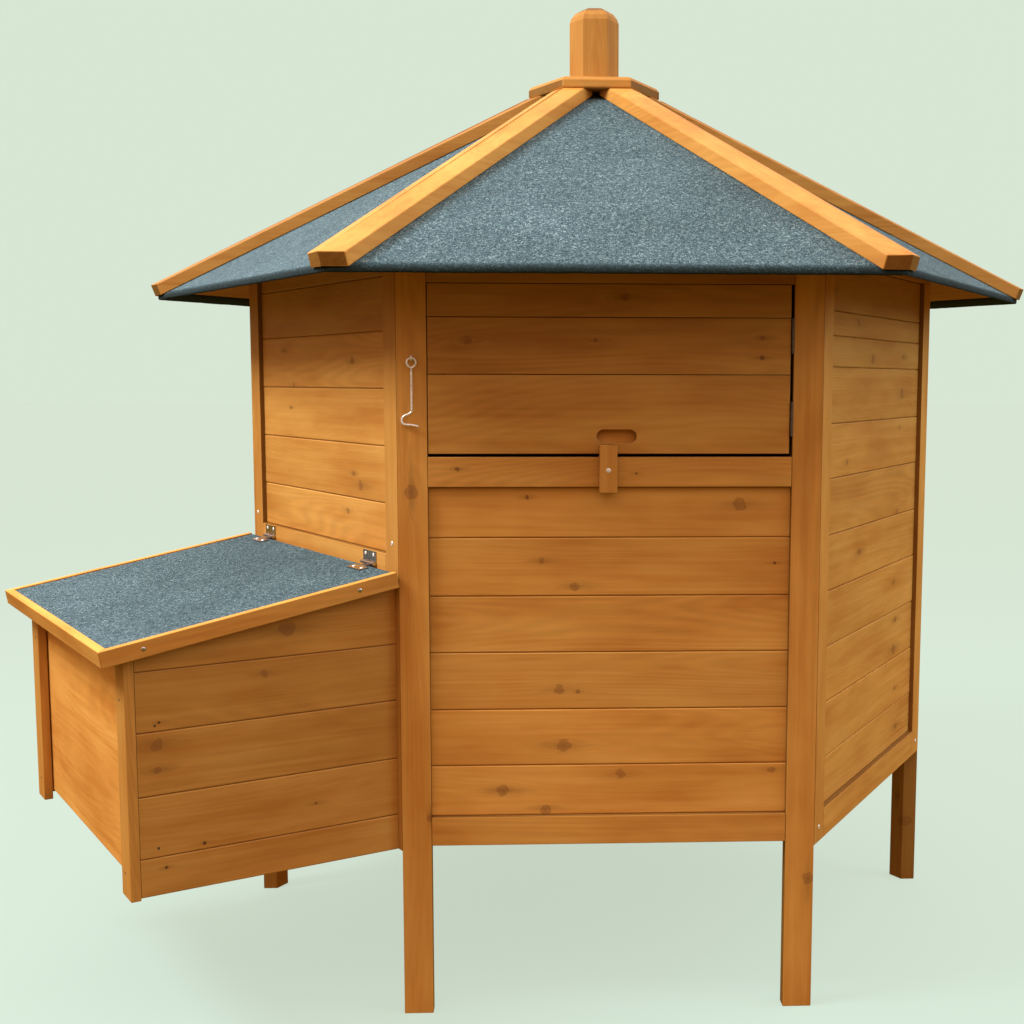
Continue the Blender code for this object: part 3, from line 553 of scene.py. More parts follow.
def timber(name, shape, place, nodes, body="house", along="x", knots=(), tone=None, corner=None):
    """A piece of stained fir, made in its wall's frame; its knots are (along, across, radius)."""
    mesh = shape if isinstance(shape, bpy.types.Mesh) else mesh_from(name, shape)
    mark_grain(mesh, name, along, knots, tone, corner)
    return add_piece(name, mesh, place, WOOD, body, nodes)


def random_knots(name, along, across, count, biggest=0.009):
    """Knots scattered over a plank, for the boards that nothing says more about."""
    rng = Random(name + " knots")
    found = []
    for _ in range(count):
        place = (rng.uniform(*along), rng.uniform(*across))
        found.append((*place, rng.uniform(0.25, 1.0) * biggest))
    return found


def placed_knots(spots, along, across):
    """Knots from their shares of the way along and across a plank."""
    length, width = along[1] - along[0], across[1] - across[0]
    return [(along[0] + a * length, across[0] + b * width, radius) for a, b, radius in spots]


# Screws and nails


def screw_head(radius=0.0036):
    """A domed countersunk head with a cross recess, along +Z from 0."""
    steps = 20
    profile = [(radius, -0.0010), (radius, 0.0), (0.86 * radius, 0.0005), (0.5 * radius, 0.0009)]
    work = bmesh.new()
    rings = []
    for reach, height in profile:
        angles = [2 * pi * k / steps for k in range(steps)]
        rings.append([work.verts.new((reach * cos(a), reach * sin(a), height)) for a in angles])
    for lower, upper in zip(rings, rings[1:]):
        for k in range(steps):
            following = (k + 1) % steps
            work.faces.new((lower[k], lower[following], upper[following], upper[k]))
    work.faces.new(rings[-1])
    work.faces.new(list(reversed(rings[0])))
    head = mesh_from("screw_head", work)
    arm, width, depth = 0.60 * radius, 0.13 * radius, 0.0007
    slots = [
        mesh_from("slot", block((-arm, -width, 0.0009 - depth), (arm, width, 0.003))),
        mesh_from("slot", block((-width, -arm, 0.0009 - depth), (width, arm, 0.003))),
    ]
    return combine("screw_head", head, slots)


def nail_head():
    work = bmesh.new()
    bmesh.ops.create_cone(work, cap_ends=True, segments=14, radius1=0.0019, radius2=0.0016, depth=0.0009)
    return mesh_from("nail_head", work)


def scatter(name, head, places, material, body, nodes=()):
    """Copies of one small head at each of these places, as one piece."""
    work = bmesh.new()
    for place in places:
        copy = head.copy()
        copy.transform(place)
        work.from_mesh(copy)
        bpy.data.meshes.remove(copy)
    return add_piece(name, mesh_from(name, work), Matrix(), material, body, nodes)


def head_on_wall(wall, x, z, y=0.0, turn=0.0):
    """A head's place on the outer face of a wall's timber, its cross turned by this much."""
    outward = Matrix.Rotation(radians(90), 4, "X")
    return wall @ Matrix.Translation((x, y, z)) @ outward @ Matrix.Rotation(turn, 4, "Z")


SCREW = screw_head()
NAIL_HEAD = nail_head()


# Walls


def stile_outline(left):
    edge = GAP / 2 / cos(HALF_HEX)
    inner = edge + STOCK_T * tan(HALF_HEX)
    outline = [(edge, 0), (STOCK_W, 0), (STOCK_W, STOCK_T), (inner, STOCK_T)]
    return outline if left else [(SIDE - x, y) for x, y in reversed(outline)]


def add_stile(name, wall, left, low, nodes, knots=(), tone=None):
    shape = soften(slab(stile_outline(left), low, STILE_TOP), 0.0010)
    # The stile's side next to the boards gets painted shade.
    timber(name, shape, wall, nodes, along="z", knots=knots, tone=tone, corner=0)


def add_rail(name, wall, span, nodes, knots=(), tone=None, x=PANEL_X):
    shape = soften(block((x[0], 0, span[0]), (x[1], STOCK_T, span[1])))
    # The rail's top and bottom faces get painted shade.
    timber(name, shape, wall, nodes, knots=knots, tone=tone, corner=2)


def board_outline(low, high, tongue=True, groove=True, face=SET_BACK, back=SET_BACK + BOARD_T):
    """The section of a tongue-and-groove board in depth and height, its face edges chamfered."""
    middle = (face + back) / 2
    bottom, top = low + BOARD_GAP / 2, high - BOARD_GAP / 2
    slant = 0.6 * CHAMFER
    outline = [(face, bottom + CHAMFER), (face, top - CHAMFER), (face + slant, top)]
    if tongue:
        outline += [(middle - 0.0019, top), (middle - 0.0019, top + 0.0050)]
        outline += [(middle + 0.0019, top + 0.0050), (middle + 0.0019, top)]
    outline += [(back, top), (back, bottom)]
    if groove:
        outline += [(middle + 0.0021, bottom), (middle + 0.0021, bottom + 0.0054)]
        outline += [(middle - 0.0021, bottom + 0.0054), (middle - 0.0021, bottom)]
    return [*outline, (face + slant, bottom)]


def add_boards(name, wall, levels, nodes, knots, tones=(), x=PANEL_X, hole=None):
    """Boards from each level to the next, stacked by their tongues and grooves."""
    last = len(levels) - 2
    for index, (low, high) in enumerate(zip(levels, levels[1:])):
        piece = f"{name}_{index + 1}"
        rng = Random(piece + " depth")
        face = SET_BACK + rng.uniform(-0.0003, 0.0003)
        outline = board_outline(low, high, index < last, index > 0, face, face + BOARD_T)
        mesh = mesh_from(piece, slab(outline, x[0], x[1], ALONG_WALL))
        if hole and low < hole[1][2]:
            mesh = combine(piece, mesh, [mesh_from("hole", block(*hole))])
        count = rng.choice((0, 1, 1, 2))
        here = random_knots(piece, x, (low, high), count)
        if index in knots:
            here = placed_knots(knots[index], x, (low, high))
        timber(piece, mesh, wall, nodes, knots=here, tone=tones[index] if index < len(tones) else None)


def add_wall_screws():
    """Two screws hold each end of a rail to its stile, from outside."""
    rng = Random("wall screws")
    places = []
    nest_screws = ((0.020, 0.7145), (SIDE - 0.021, 0.714))
    for x, z in nest_screws:
        places.append(head_on_wall(NEST, x, z, -0.0004, rng.uniform(0, pi)))
    for index, name in enumerate(WALLS):
        if name in ("front", "nest"):
            continue
        for x in (0.021, SIDE - 0.021):
            places.append(head_on_wall(wall_frame(index), x, 0.277, -0.0004, rng.uniform(0, pi)))
    scatter("wall_screws", SCREW, places, ZINC, "house")


# Knots placed on the boards, which are counted from the bottom: the share of the way along the
# board, the share of the way up it, and the knot's radius.
FRONT_KNOTS = {
    0: [(0.53, 0.8, 0.0065), (0.2, 0.5, 0.0080), (0.32, 0.1, 0.0070), (0.96, 0.85, 0.0050)],
    1: [(0.37, 0.35, 0.0098)],
    2: [(0.36, 0.35, 0.0070), (0.41, 0.3, 0.0034)],
    3: [],
    4: [(0.31, 0.6, 0.0045), (0.4, 0.15, 0.0060), (0.96, 0.55, 0.0025)],
    5: [(0.86, 0.65, 0.0085), (0.27, 0.8, 0.0030)],
}
SILL_KNOTS = [(0.08, 0.6, 0.0032), (0.57, 0.45, 0.0020)]
NEST_WALL_KNOTS = {
    0: [(0.7, 0.7, 0.0050)],
    1: [(0.8, 0.25, 0.0075), (0.75, 0.45, 0.0040)],
    2: [(0.25, 0.6, 0.0030)],
    3: [(0.28, 0.05, 0.0040), (0.75, 0.5, 0.0060), (0.2, 0.75, 0.0045)],
    4: [],
    5: [],
}
RIGHT_KNOTS = {
    1: [(0.8, 0.35, 0.0040)],
    3: [(0.75, 0.6, 0.0050)],
    4: [(0.35, 0.5, 0.0060)],
    6: [(0.78, 0.8, 0.0040), (0.2, 0.25, 0.0050)],
    7: [(0.8, 0.5, 0.0080)],
}
DOOR_KNOTS = {
    0: [],
    1: [(0.11, 0.6, 0.0060), (0.46, 0.6, 0.0034), (0.92, 0.65, 0.0036), (0.92, 0.3, 0.0032)],
    2: [(0.54, 0.6, 0.0055)],
}
LEG_KNOTS = {
    "front_left": [(0.7, 0.45, 0.0095), (0.27, 0.95, 0.0050)],
    "front_right": [(0.18, 0.8, 0.0085)],
}


def add_walls():
    for index in (0, 2, 4):
        for left in (True, False):
            corner = CORNERS[index if left else (index + 1) % 6]
            name = "leg_" + corner
            across = (0, STOCK_W) if left else (SIDE - STOCK_W, SIDE)
            knots = random_knots(name, (0, 1), (0.01, 0.03), 2)
            if corner in LEG_KNOTS:
                knots = placed_knots(LEG_KNOTS[corner], (0, STILE_TOP), across)
            # The leg at the right corner is set darker: painted shade, as under the body.
            tone = {"front_left": 0.72, "front_right": 0.60, "right": -0.45}.get(corner, 0.25)
            add_stile(name + "_timber", wall_frame(index), left, 0, [name], knots, tone)
    for wall, place, ends in (("right", RIGHT, ("front", "back")), ("nest", NEST, ("back", "front"))):
        for left, end in zip((True, False), ends):
            name = f"{wall}_wall_stile_{end}"
            add_stile(name + "_timber", place, left, UNDERSIDE, [name], tone=0.6 if wall == "right" else 0.35)
    for left, end in zip((True, False), ("left", "right")):
        add_stile(f"back_wall_stile_{end}_timber", BACK, left, UNDERSIDE, ["back_wall"])

    add_rail("front_bottom_rail_timber", FRONT, FRONT_RAIL, ["front_bottom_rail"], tone=0.55)
    sill_knots = placed_knots(SILL_KNOTS, PANEL_X, SILL_RAIL)
    add_rail("front_sill_rail_timber", FRONT, SILL_RAIL, ["front_sill_rail"], sill_knots, 0.56)
    levels = (FRONT_RAIL[1], *FRONT_LINES, SILL_RAIL[0])
    tones = (0.88, 0.94, 0.50, 0.60, 0.60, 0.80)
    add_boards("front_board", FRONT, levels, ["front_boards"], FRONT_KNOTS, tones)

    add_rail("right_wall_bottom_rail_timber", RIGHT, RAIL, ["right_wall_bottom_rail"], tone=0.6)
    levels = (RAIL[1], *PLAIN_LINES, STILE_TOP)
    tones = (0.6, 0.75, 0.55, 0.65, 0.5, 0.6, 0.5, 0.5, 0.4, 0.4, 0.3)
    add_boards("right_wall_board", RIGHT, levels, ["right_wall_boards"], RIGHT_KNOTS, tones)

    add_rail("nest_wall_bottom_rail_timber", NEST, RAIL, ["nest_wall_bottom_rail"])
    add_rail("nest_wall_hinge_rail_timber", NEST, HINGE_RAIL, ["nest_wall_hinge_rail"], tone=0.62)
    levels = (HINGE_RAIL[1], *NEST_WALL_LINES, STILE_TOP)
    tones = (0.78, 0.70, 0.72, 0.80, 0.42, 0.32)
    add_boards("nest_wall_board", NEST, levels, ["nest_wall_boards"], NEST_WALL_KNOTS, tones)

    levels = (RAIL[1], *PLAIN_LINES, STILE_TOP)
    for name in ("back_right", "back_left"):
        place = wall_frame(WALLS.index(name))
        add_rail(name + "_wall_bottom_rail", place, RAIL, [name + "_wall"])
        add_boards(name + "_wall_board", place, levels, [name + "_wall"], {})
    add_rail("back_wall_bottom_rail", BACK, RAIL, ["back_wall"])
    hole = ((DOORWAY_X[0], -0.05, DOORWAY_Z[0] - 0.02), (DOORWAY_X[1], 0.08, DOORWAY_Z[1]))
    add_boards("back_wall_board", BACK, levels, ["back_wall"], {}, hole=hole)
    add_wall_screws()


def add_wall_plate():
    """Six mitred timbers that tie the walls together, and the lintel over the door."""
    edge = GAP / 2 / cos(HALF_HEX)
    inner = edge + STOCK_T * tan(HALF_HEX)
    outline = [(edge, 0), (SIDE - edge, 0), (SIDE - inner, STOCK_T), (inner, STOCK_T)]
    for index, name in enumerate(WALLS):
        shape = soften(slab(outline, PLATE_BOTTOM, PLATE_HIGH.z), 0.0008)
        timber(f"wall_plate_{name}", shape, wall_frame(index), ["wall_plate"], tone=0.3)
    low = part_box("wall_plate")[0].z
    shape = soften(block((PANEL_X[0], GAP, low), (PANEL_X[1], STOCK_T, PLATE_BOTTOM - GAP)), 0.0008)
    # The lintel is set darker: painted shade under the eave.
    timber("lintel", shape, FRONT, ["wall_plate"], tone=0.0)


# Door, button and hook


def add_door():
    """Three boards with rounded edges; the lowest has the finger slot."""
    levels = (DOOR_Z[0], *DOOR_LINES, DOOR_Z[1])
    tones = (0.18, 0.28, 0.10)
    for index, (low, high) in enumerate(zip(levels, levels[1:])):
        name = f"door_board_{index + 1}"
        low = low + (BOARD_GAP / 2 if index else 0)
        high = high - (BOARD_GAP / 2 if index < 2 else 0)
        outlines = [[(DOOR_X[0], low), (DOOR_X[1], low), (DOOR_X[1], high), (DOOR_X[0], high)]]
        if index == 0:
            outlines.append(stadium(*HAND_SLOT, HAND_SLOT_AT))
        turn = Matrix.Translation((0, DOOR_T / 2, 0)) @ FACING
        mesh = plate_mesh(name, outlines, DOOR_T, 0.0010, turn)
        knots = placed_knots(DOOR_KNOTS[index], DOOR_X, (low, high))
        timber(name, mesh, FRONT, ["door"], "door", knots=knots, tone=tones[index])
    add_door_ledges()


def add_door_ledges():
    """Two uprights and a foot, screwed to the inside of the boards."""
    low, high = LEDGE_Z
    left, right = DOOR_X[0] + 0.030, DOOR_X[1] - 0.030
    y = (DOOR_T + GAP, 2 * DOOR_T + GAP)
    foot_top = low + STOCK_W
    shape = soften(block((left, y[0], low), (right, y[1], foot_top)))
    timber("door_ledge_foot", shape, FRONT, ["door_ledges"], "door", tone=0.62)
    places = []
    inward = Matrix.Rotation(radians(-90), 4, "X")
    for name, x in (("left", left), ("right", right - STOCK_W)):
        shape = soften(block((x, y[0], foot_top + GAP), (x + STOCK_W, y[1], high)))
        timber("door_ledge_" + name, shape, FRONT, ["door_ledges"], "door", along="z")
        for z in (low + STOCK_W / 2, foot_top + 0.02, high - 0.02):
            places.append(FRONT @ Matrix.Translation((x + STOCK_W / 2, y[1], z)) @ inward)
    scatter("door_ledge_screws", SCREW, places, ZINC, "door")


def add_button(name, node, place, upward):
    """A turn button, its longer arm up or down from the screw, with the screw that it turns on."""
    width, thickness, height = BUTTON
    low, high = (-BUTTON_LOW, height - BUTTON_LOW) if upward else (BUTTON_LOW - height, BUTTON_LOW)
    shape = soften(block((-width / 2, -thickness, low), (width / 2, 0, high)), 0.0016, 3)
    timber(name + "_timber", shape, place, [node], node, along="z", tone=0.55)
    head = head_on_wall(place, 0, 0, -thickness - 0.0001, radians(25))
    scatter(name + "_screw", SCREW, [head], ZINC, node)


def circle(radius, steps=32):
    """Points round a ring in x and z, from its lowest point."""
    angles = (2 * pi * k / steps for k in range(steps))
    return [(-radius * sin(a), 0, -radius * cos(a)) for a in angles]


def drop(radius, reach, steps=26):
    """A circle that comes to a point this far below its centre."""
    start = acos(radius / reach) - pi / 2
    angles = [start + (pi - 2 * start) * k / steps for k in range(steps + 1)]
    return [(radius * cos(a), 0, radius * sin(a)) for a in angles] + [(0, 0, -reach)]


def add_hook():
    """A hook of bent wire whose ring goes through a screw eye."""
    wire = dict(dimensions="3D", bevel_depth=HOOK_WIRE_R, bevel_resolution=3, use_fill_caps=True)
    ring = curve_mesh("hook_ring", [drop(HOOK_RING_R, 0.0078)], cyclic=True, **wire)
    bend = [(0, -0.0078), (0, -0.0655), (-0.0006, -0.0698), (-0.0034, -0.0728), (-0.0085, -0.0748)]
    bend += [(-0.0128, -0.0778), (-0.0144, -0.0820), (-0.0138, -0.0858), (-0.0112, -0.0880)]
    bend += [(-0.0062, -0.0888), (0.0010, -0.0894), (0.0092, -0.0912)]
    shank = curve_mesh("hook_shank", [[(x, 0, z) for x, z in smooth_path(bend, 4)]], **wire)
    place = FRONT @ Matrix.Translation((HOOK_AT[0], -HOOK_OUT, HOOK_AT[1]))
    add_bent_wire("hook_wire", [ring, shank], place, "hook", "hook")

    wire["bevel_depth"] = EYE_WIRE_R
    eye = curve_mesh("screw_eye", [circle(EYE_R)], cyclic=True, **wire)
    eye.transform(Matrix.Rotation(radians(90), 4, "Z"))
    wire["bevel_depth"] = EYE_COLLAR_R
    collar = curve_mesh("screw_eye", [[(0, EYE_R, 0), (0, HOOK_OUT - GAP, 0)]], **wire)
    place = FRONT @ Matrix.Translation((HOOK_AT[0], -HOOK_OUT, HOOK_AT[1] + HOOK_RING_R))
    add_bent_wire("screw_eye", [eye, collar], place, "house", "hook_screw")


def add_bent_wire(name, parts, place, body, node):
    mesh = combine(name, parts[0], parts[1:], "UNION")
    for face in mesh.polygons:
        face.use_smooth = True
    add_piece(name, mesh, place, ZINC, body, [node])


def smooth_path(points, steps):
    """Catmull-Rom points through the given ones."""
    ends = [points[0], *points, points[-1]]
    path = []
    for a, b, c, d in zip(ends, ends[1:], ends[2:], ends[3:]):
        for k in range(steps):
            t = k / steps
            weights = (-t + 2 * t**2 - t**3, 2 - 5 * t**2 + 3 * t**3, t + 4 * t**2 - 3 * t**3, -(t**2) + t**3)
            path.append(tuple(sum(w * p[i] for w, p in zip(weights, (a, b, c, d))) / 2 for i in range(2)))
    return [*path, points[-1]]


def keep_cad(node, material):
    """The CAD solid is right as it is, so it only gets a better material."""
    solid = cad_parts[node]
    for face in solid.data.polygons:
        face.use_smooth = False
    solid.data.materials.clear()
    solid.data.materials.append(material)


# Nest box and lid


def below_lid(work):
    """Cuts a shape in the nest wall's frame along the underside of the lid's panel."""
    slope = NEST.inverted() @ LID
    point = slope @ Vector((0, 0, -LID_FELT_DROP - LID_PANEL_T - 0.001))
    return slice_above(work, point, slope.to_3x3() @ Vector((0, 0, 1)))


# As the wall boards' knots, from the box's outer end to the wall
NEST_SIDE_KNOTS = {
    0: [(0.09, 0.7, 0.0022)],
    1: [(0.66, 0.45, 0.0029), (0.23, 0.1, 0.0026)],
    2: [(0.07, 0.8, 0.0080), (0.07, 0.4, 0.0050)],
    3: [(0.47, 0.75, 0.0050), (0.08, 0.15, 0.0020)],
    4: [(0.56, 0.3, 0.0110)],
}


def add_nest_side(name, near):
    top = LID_TOP[1] + 0.02
    levels = (UNDERSIDE, *NEST_SIDE_LINES, top)
    reach = (GAP, NEST_DEPTH - NEST_POST[1] - GAP)
    last = len(levels) - 2
    tones = (0.22, 0.34, 0.10, 0.14, 0.18)
    for index, (low, high) in enumerate(zip(levels, levels[1:])):
        outline = board_outline(low, high, index < last, index > 0, 0, BOARD_T)
        if near:
            outline = [(SIDE - NEST_SIDE_X - depth, z) for depth, z in outline]
        else:
            outline = [(NEST_SIDE_X + depth, z) for depth, z in outline]
        shape = below_lid(slab(outline, reach[0], reach[1], FACING))
        piece = f"{name}_board_{index + 1}"
        knots = random_knots(piece, (-0.35, -0.05), (low, high), 1)
        if near:
            knots = placed_knots(NEST_SIDE_KNOTS[index], (-reach[1], -reach[0]), (low, high))
        timber(piece, shape, NEST, [name], along="y", knots=knots, tone=tones[index])


def add_nest_box():
    add_nest_side("nest_side_front", True)
    add_nest_side("nest_side_back", False)
    inner = NEST_SIDE_X + BOARD_T + GAP
    post_low = heights("nest_corner_post_front")[0]
    top = LID_TOP[1]
    for end, x in (("back", NEST_SIDE_X), ("front", SIDE - NEST_SIDE_X - NEST_POST[0])):
        name = "nest_corner_post_" + end
        shape = block((x, -NEST_DEPTH, post_low), (x + NEST_POST[0], -NEST_DEPTH + NEST_POST[1], top))
        timber(name + "_timber", soften(below_lid(shape), 0.0010), NEST, [name], along="z", tone=0.45)
    panel_low, _ = heights("nest_end_panel")
    shape = block((inner, -NEST_PANEL_OUT, panel_low), (SIDE - inner, -NEST_PANEL_OUT + BOARD_T, top))
    timber("nest_end_panel_timber", soften(below_lid(shape)), NEST, ["nest_end_panel"], tone=1.35)
    floor = heights("nest_floor")
    out = NEST_PANEL_OUT - BOARD_T - GAP
    shape = soften(block((inner, -out, floor[0]), (SIDE - inner, -GAP, floor[1])))
    timber("nest_floor_timber", shape, NEST, ["nest_floor"], tone=0.3)
    add_nest_nails()


def add_nest_nails():
    """Nails through the corner posts into the ends of the boards, and through the sides into the posts."""
    places = []
    for x in (0.038, SIDE - 0.038):
        for z in (0.285, 0.525):
            places.append(head_on_wall(NEST, x, z, -NEST_DEPTH))
    outward = Matrix.Rotation(radians(90), 4, "Y")
    for z in (0.490, 0.320):
        places.append(NEST @ Matrix.Translation((SIDE - NEST_SIDE_X, -0.355, z)) @ outward)
        places.append(NEST @ Matrix.Translation((NEST_SIDE_X, -0.355, z)) @ outward)
    scatter("nest_nails", NAIL_HEAD, places, DULL_AND_PAINTED_SHADE, "house")


def add_lid():
    """Three mitred rails round a board with felt on it."""
    length = (LID_REACH - LID_TOP[0]) / cos(LID_SLOPE)
    back = 0.002
    left, right = LID_EDGE_X, SIDE - LID_EDGE_X
    thick, high = LID_RAIL
    near = [(right, -length), (right, back), (right - thick, back), (right - thick, -length + thick)]
    far = [(left, back), (left, -length), (left + thick, -length + thick), (left + thick, back)]
    outer = [(left, -length), (right, -length), (right - thick, -length + thick), (left + thick, -length + thick)]
    for name, outline, along in (("front", near, "y"), ("back", far, "y"), ("outer", outer, "x")):
        shape = soften(slab(outline, -high, 0), 0.0012)
        # The rails' upper faces get a painted highlight.
        paint_top_highlight(timber(f"lid_rail_{name}", shape, LID, ["lid_frame"], "lid", along=along, tone=0.66))

    low = (left + thick + GAP, -length + thick + GAP)
    high_corner = (right - thick - GAP, back)
    top = -LID_FELT_DROP - FELT_T
    shape = soften(block((*low, -LID_FELT_DROP - LID_PANEL_T), (*high_corner, top - GAP)), 0.0006)
    timber("lid_board", shape, LID, ["lid_panel"], "lid", tone=0.3)
    add_felt_sheet("lid_felt", low, high_corner, top)
    add_lid_screws()
    add_lid_hinges()


def paint_top_highlight(piece):
    """Its upper faces are made lighter: a painted highlight."""
    up = LID.to_3x3() @ Vector((0, 0, 1))
    stain_and_painted_light = piece.data.attributes["stain_and_painted_light"]
    for face in piece.data.polygons:
        if face.normal.dot(up) > 0.5:
            stain_and_painted_light.data[face.index].value = -1.0


def add_felt_sheet(name, low, high, bottom):
    """A level sheet of felt, a little uneven, its granules left whole up to the cut edges."""
    step = 0.012
    across = max(2, round((high[0] - low[0]) / step))
    down = max(2, round((high[1] - low[1]) / step))
    work = bmesh.new()
    grid = []
    for j in range(down + 1):
        row = []
        for i in range(across + 1):
            x = low[0] + (high[0] - low[0]) * i / across
            y = low[1] + (high[1] - low[1]) * j / down
            wave = 0.0004 * noise.noise(Vector((x * 14, y * 14, 3)))
            row.append(work.verts.new((x, y, bottom + FELT_T - 0.0005 + wave)))
        grid.append(row)
    for j in range(down):
        for i in range(across):
            work.faces.new((grid[j][i], grid[j][i + 1], grid[j + 1][i + 1], grid[j + 1][i]))
    rim = [edge for edge in work.edges if edge.is_boundary]
    skirt = bmesh.ops.extrude_edge_only(work, edges=rim)["geom"]
    lowered = [item for item in skirt if isinstance(item, bmesh.types.BMVert)]
    for vertex in lowered:
        vertex.co.z = bottom
    bottom_rim = [edge for edge in work.edges if edge.is_boundary]
    bmesh.ops.holes_fill(work, edges=bottom_rim)
    bmesh.ops.recalc_face_normals(work, faces=work.faces)
    mesh = mesh_from(name, work)
    mark_bare(mesh, lambda place: 0.0)
    add_piece(name, mesh, LID, FELT, "lid", ["lid_panel"])


def mark_bare(mesh, bareness):
    """How bare of granules the felt is at each vertex, from 0 to 1."""
    attribute = mesh.attributes.new("bare", "FLOAT", "POINT")
    for vertex in mesh.vertices:
        attribute.data[vertex.index].value = bareness(vertex.co)


def add_lid_screws():
    """Through the side rails, into the board's edges."""
    places = []
    middle = -LID_RAIL[1] / 2
    for out in (0.067, 0.374):
        y = -(out - LID_TOP[0]) / cos(LID_SLOPE)
        for x, sign in ((SIDE - LID_EDGE_X, 1), (LID_EDGE_X, -1)):
            turn = Matrix.Rotation(radians(90) * sign, 4, "Y")
            places.append(LID @ Matrix.Translation((x + 0.0001 * sign, y, middle)) @ turn)
    scatter("lid_screws", screw_head(0.0032), places, HINGE_PLATE, "lid")


def add_lid_hinges():
    """The CAD leaves are kept; these are the screws that hold them."""
    small = screw_head(0.0030)
    wall_places, lid_places = [], []
    for start in LID_HINGE_X:
        for x in (start + 0.009, start + LID_HINGE_L - 0.009):
            wall_places.append(head_on_wall(NEST, x, 0.6905, -0.0015, x * 40))
            spot = Matrix.Translation((x, -0.0125, -LID_FELT_DROP + 0.0015))
            lid_places.append(LID @ spot @ Matrix.Rotation(x * 30, 4, "Z"))
    scatter("lid_hinge_wall_screws", small, wall_places, ZINC, "house")
    scatter("lid_hinge_lid_screws", small, lid_places, ZINC, "lid")


# Roof


def roof_half_width(y):
    """Half a roof panel's width at this depth in its wall's frame."""
    return (APOTHEM - y) * tan(HALF_HEX) - GAP / 2 / cos(HALF_HEX)


def roof_height(y):
    """The underside of a roof panel at this depth in its wall's frame."""
    return EAVE_Z + ROOF_SLOPE * (y - (APOTHEM - EAVE_APOTHEM))


def lofted(profile, columns=2, waviness=0.0):
    """A section in depth and height, closed, carried from hip to hip in a wall's frame."""
    work = bmesh.new()
    rings = []
    for k in range(columns + 1):
        share = 2 * k / columns - 1
        ring = []
        for y, z, loose in profile:
            x = SIDE / 2 + share * roof_half_width(y)
            wave = noise.noise(Vector((x * 22, z * 9, 7))) + 0.6 * noise.noise(Vector((x * 80, y * 20, 1)))
            ring.append(work.verts.new((x, y, z + waviness * loose * wave)))
        rings.append(ring)
    count = len(profile)
    for left, right in zip(rings, rings[1:]):
        for i in range(count):
            following = (i + 1) % count
            work.faces.new((left[i], left[following], right[following], right[i]))
    work.faces.new(rings[0])
    work.faces.new(list(reversed(rings[-1])))
    bmesh.ops.recalc_face_normals(work, faces=work.faces)
    return work


def add_roof_panel(index, wall):
    """Boards under felt that is folded round the eave and a little way back underneath."""
    node = "roof_panel_" + wall
    place = wall_frame(index)
    eave, peak = APOTHEM - EAVE_APOTHEM, APOTHEM - PEAK_APOTHEM
    wrap, fold = 0.0024, 0.022
    top = ROOF_T - FELT_T
    board = [
        (eave + wrap, roof_height(eave + wrap) + wrap, 0),
        (eave + wrap, roof_height(eave + wrap) + top - GAP, 0),
        (peak, roof_height(peak) + top - GAP, 0),
        (peak, roof_height(peak) + 0.0002, 0),
        (eave + fold + 0.002, roof_height(eave + fold + 0.002) + 0.0002, 0),
        (eave + fold, roof_height(eave + fold) + wrap, 0),
    ]
    timber(f"roof_boards_{wall}", lofted(board), place, [node], tone=0.25)

    steps = 26
    felt = [(eave + wrap + GAP, roof_height(eave + wrap + GAP) + top, 0)]
    felt += [(eave + wrap - 0.0004, roof_height(eave + wrap) + wrap - 0.0006, 0)]
    felt += [(eave + fold, roof_height(eave + fold) + wrap - 0.0006, 0)]
    felt += [(eave + fold, roof_height(eave + fold), 0.3), (eave + 0.0012, roof_height(eave + 0.0012), 0.6)]
    felt += [(eave, roof_height(eave) + 0.0030, 0.9), (eave, roof_height(eave) + ROOF_T - 0.0026, 0.8)]
    felt += [(eave + 0.0016, roof_height(eave + 0.0016) + ROOF_T - 0.0002, 0.5)]
    for k in range(1, steps + 1):
        y = eave + (peak - eave) * k / steps
        felt.append((y, roof_height(y) + ROOF_T - 0.0004, 0.35 if k < steps else 0))
    felt.append((peak, roof_height(peak) + top, 0))
    mesh = mesh_from(f"roof_felt_{wall}", lofted(felt, 90, 0.0009))
    slope_top = ROOF_T - 0.0018

    def bareness(place):
        if place.z - roof_height(place.y) < slope_top:
            return 1.0 if place.y < eave + 0.03 else 0.0
        return max(0.0, 1 - (place.y - eave) / 0.026)

    mark_bare(mesh, bareness)
    for face in mesh.polygons:
        face.use_smooth = True
    add_piece(f"roof_felt_{wall}", mesh, place, FELT, "house", [node])


def batten_shape():
    """Two equal faces that follow the roof on either side of a hip, cut along both eaves."""
    fall = ROOF_SLOPE * sin(HALF_HEX)
    rise = BATTEN_T * sqrt(1 + ROOF_SLOPE**2)
    half = BATTEN_HALF
    outline = [(-half, -fall * half), (0, 0), (half, -fall * half), (half, rise - fall * half), (0, rise)]
    work = slab([*outline, (-half, rise - fall * half)], 0, 1, ALONG_WALL)
    hip_slope = ROOF_SLOPE * cos(HALF_HEX)
    corner_z = EAVE_Z + ROOF_T + GAP
    everything = work.verts[:] + work.edges[:] + work.faces[:]
    bmesh.ops.bisect_plane(work, geom=everything, plane_co=(0, 0, 0), plane_no=(0, 1, 0))
    for vertex in work.verts:
        end, across, height = vertex.co
        is_top = height + fall * abs(across) > rise / 2
        reach = BATTEN_TIP_R - abs(across) * tan(HALF_HEX) - (0 if is_top else BATTEN_END_TILT)
        along = reach if end > 0.5 else BATTEN_FOOT_R
        vertex.co = (along, across, corner_z + height + hip_slope * (EAVE_SIDE - along))
    slice_above(work, Vector((0, 0, CAP_Z[0] - GAP)), Vector((0, 0, 1)))
    return soften(work, 0.0014, 2, radians(24))


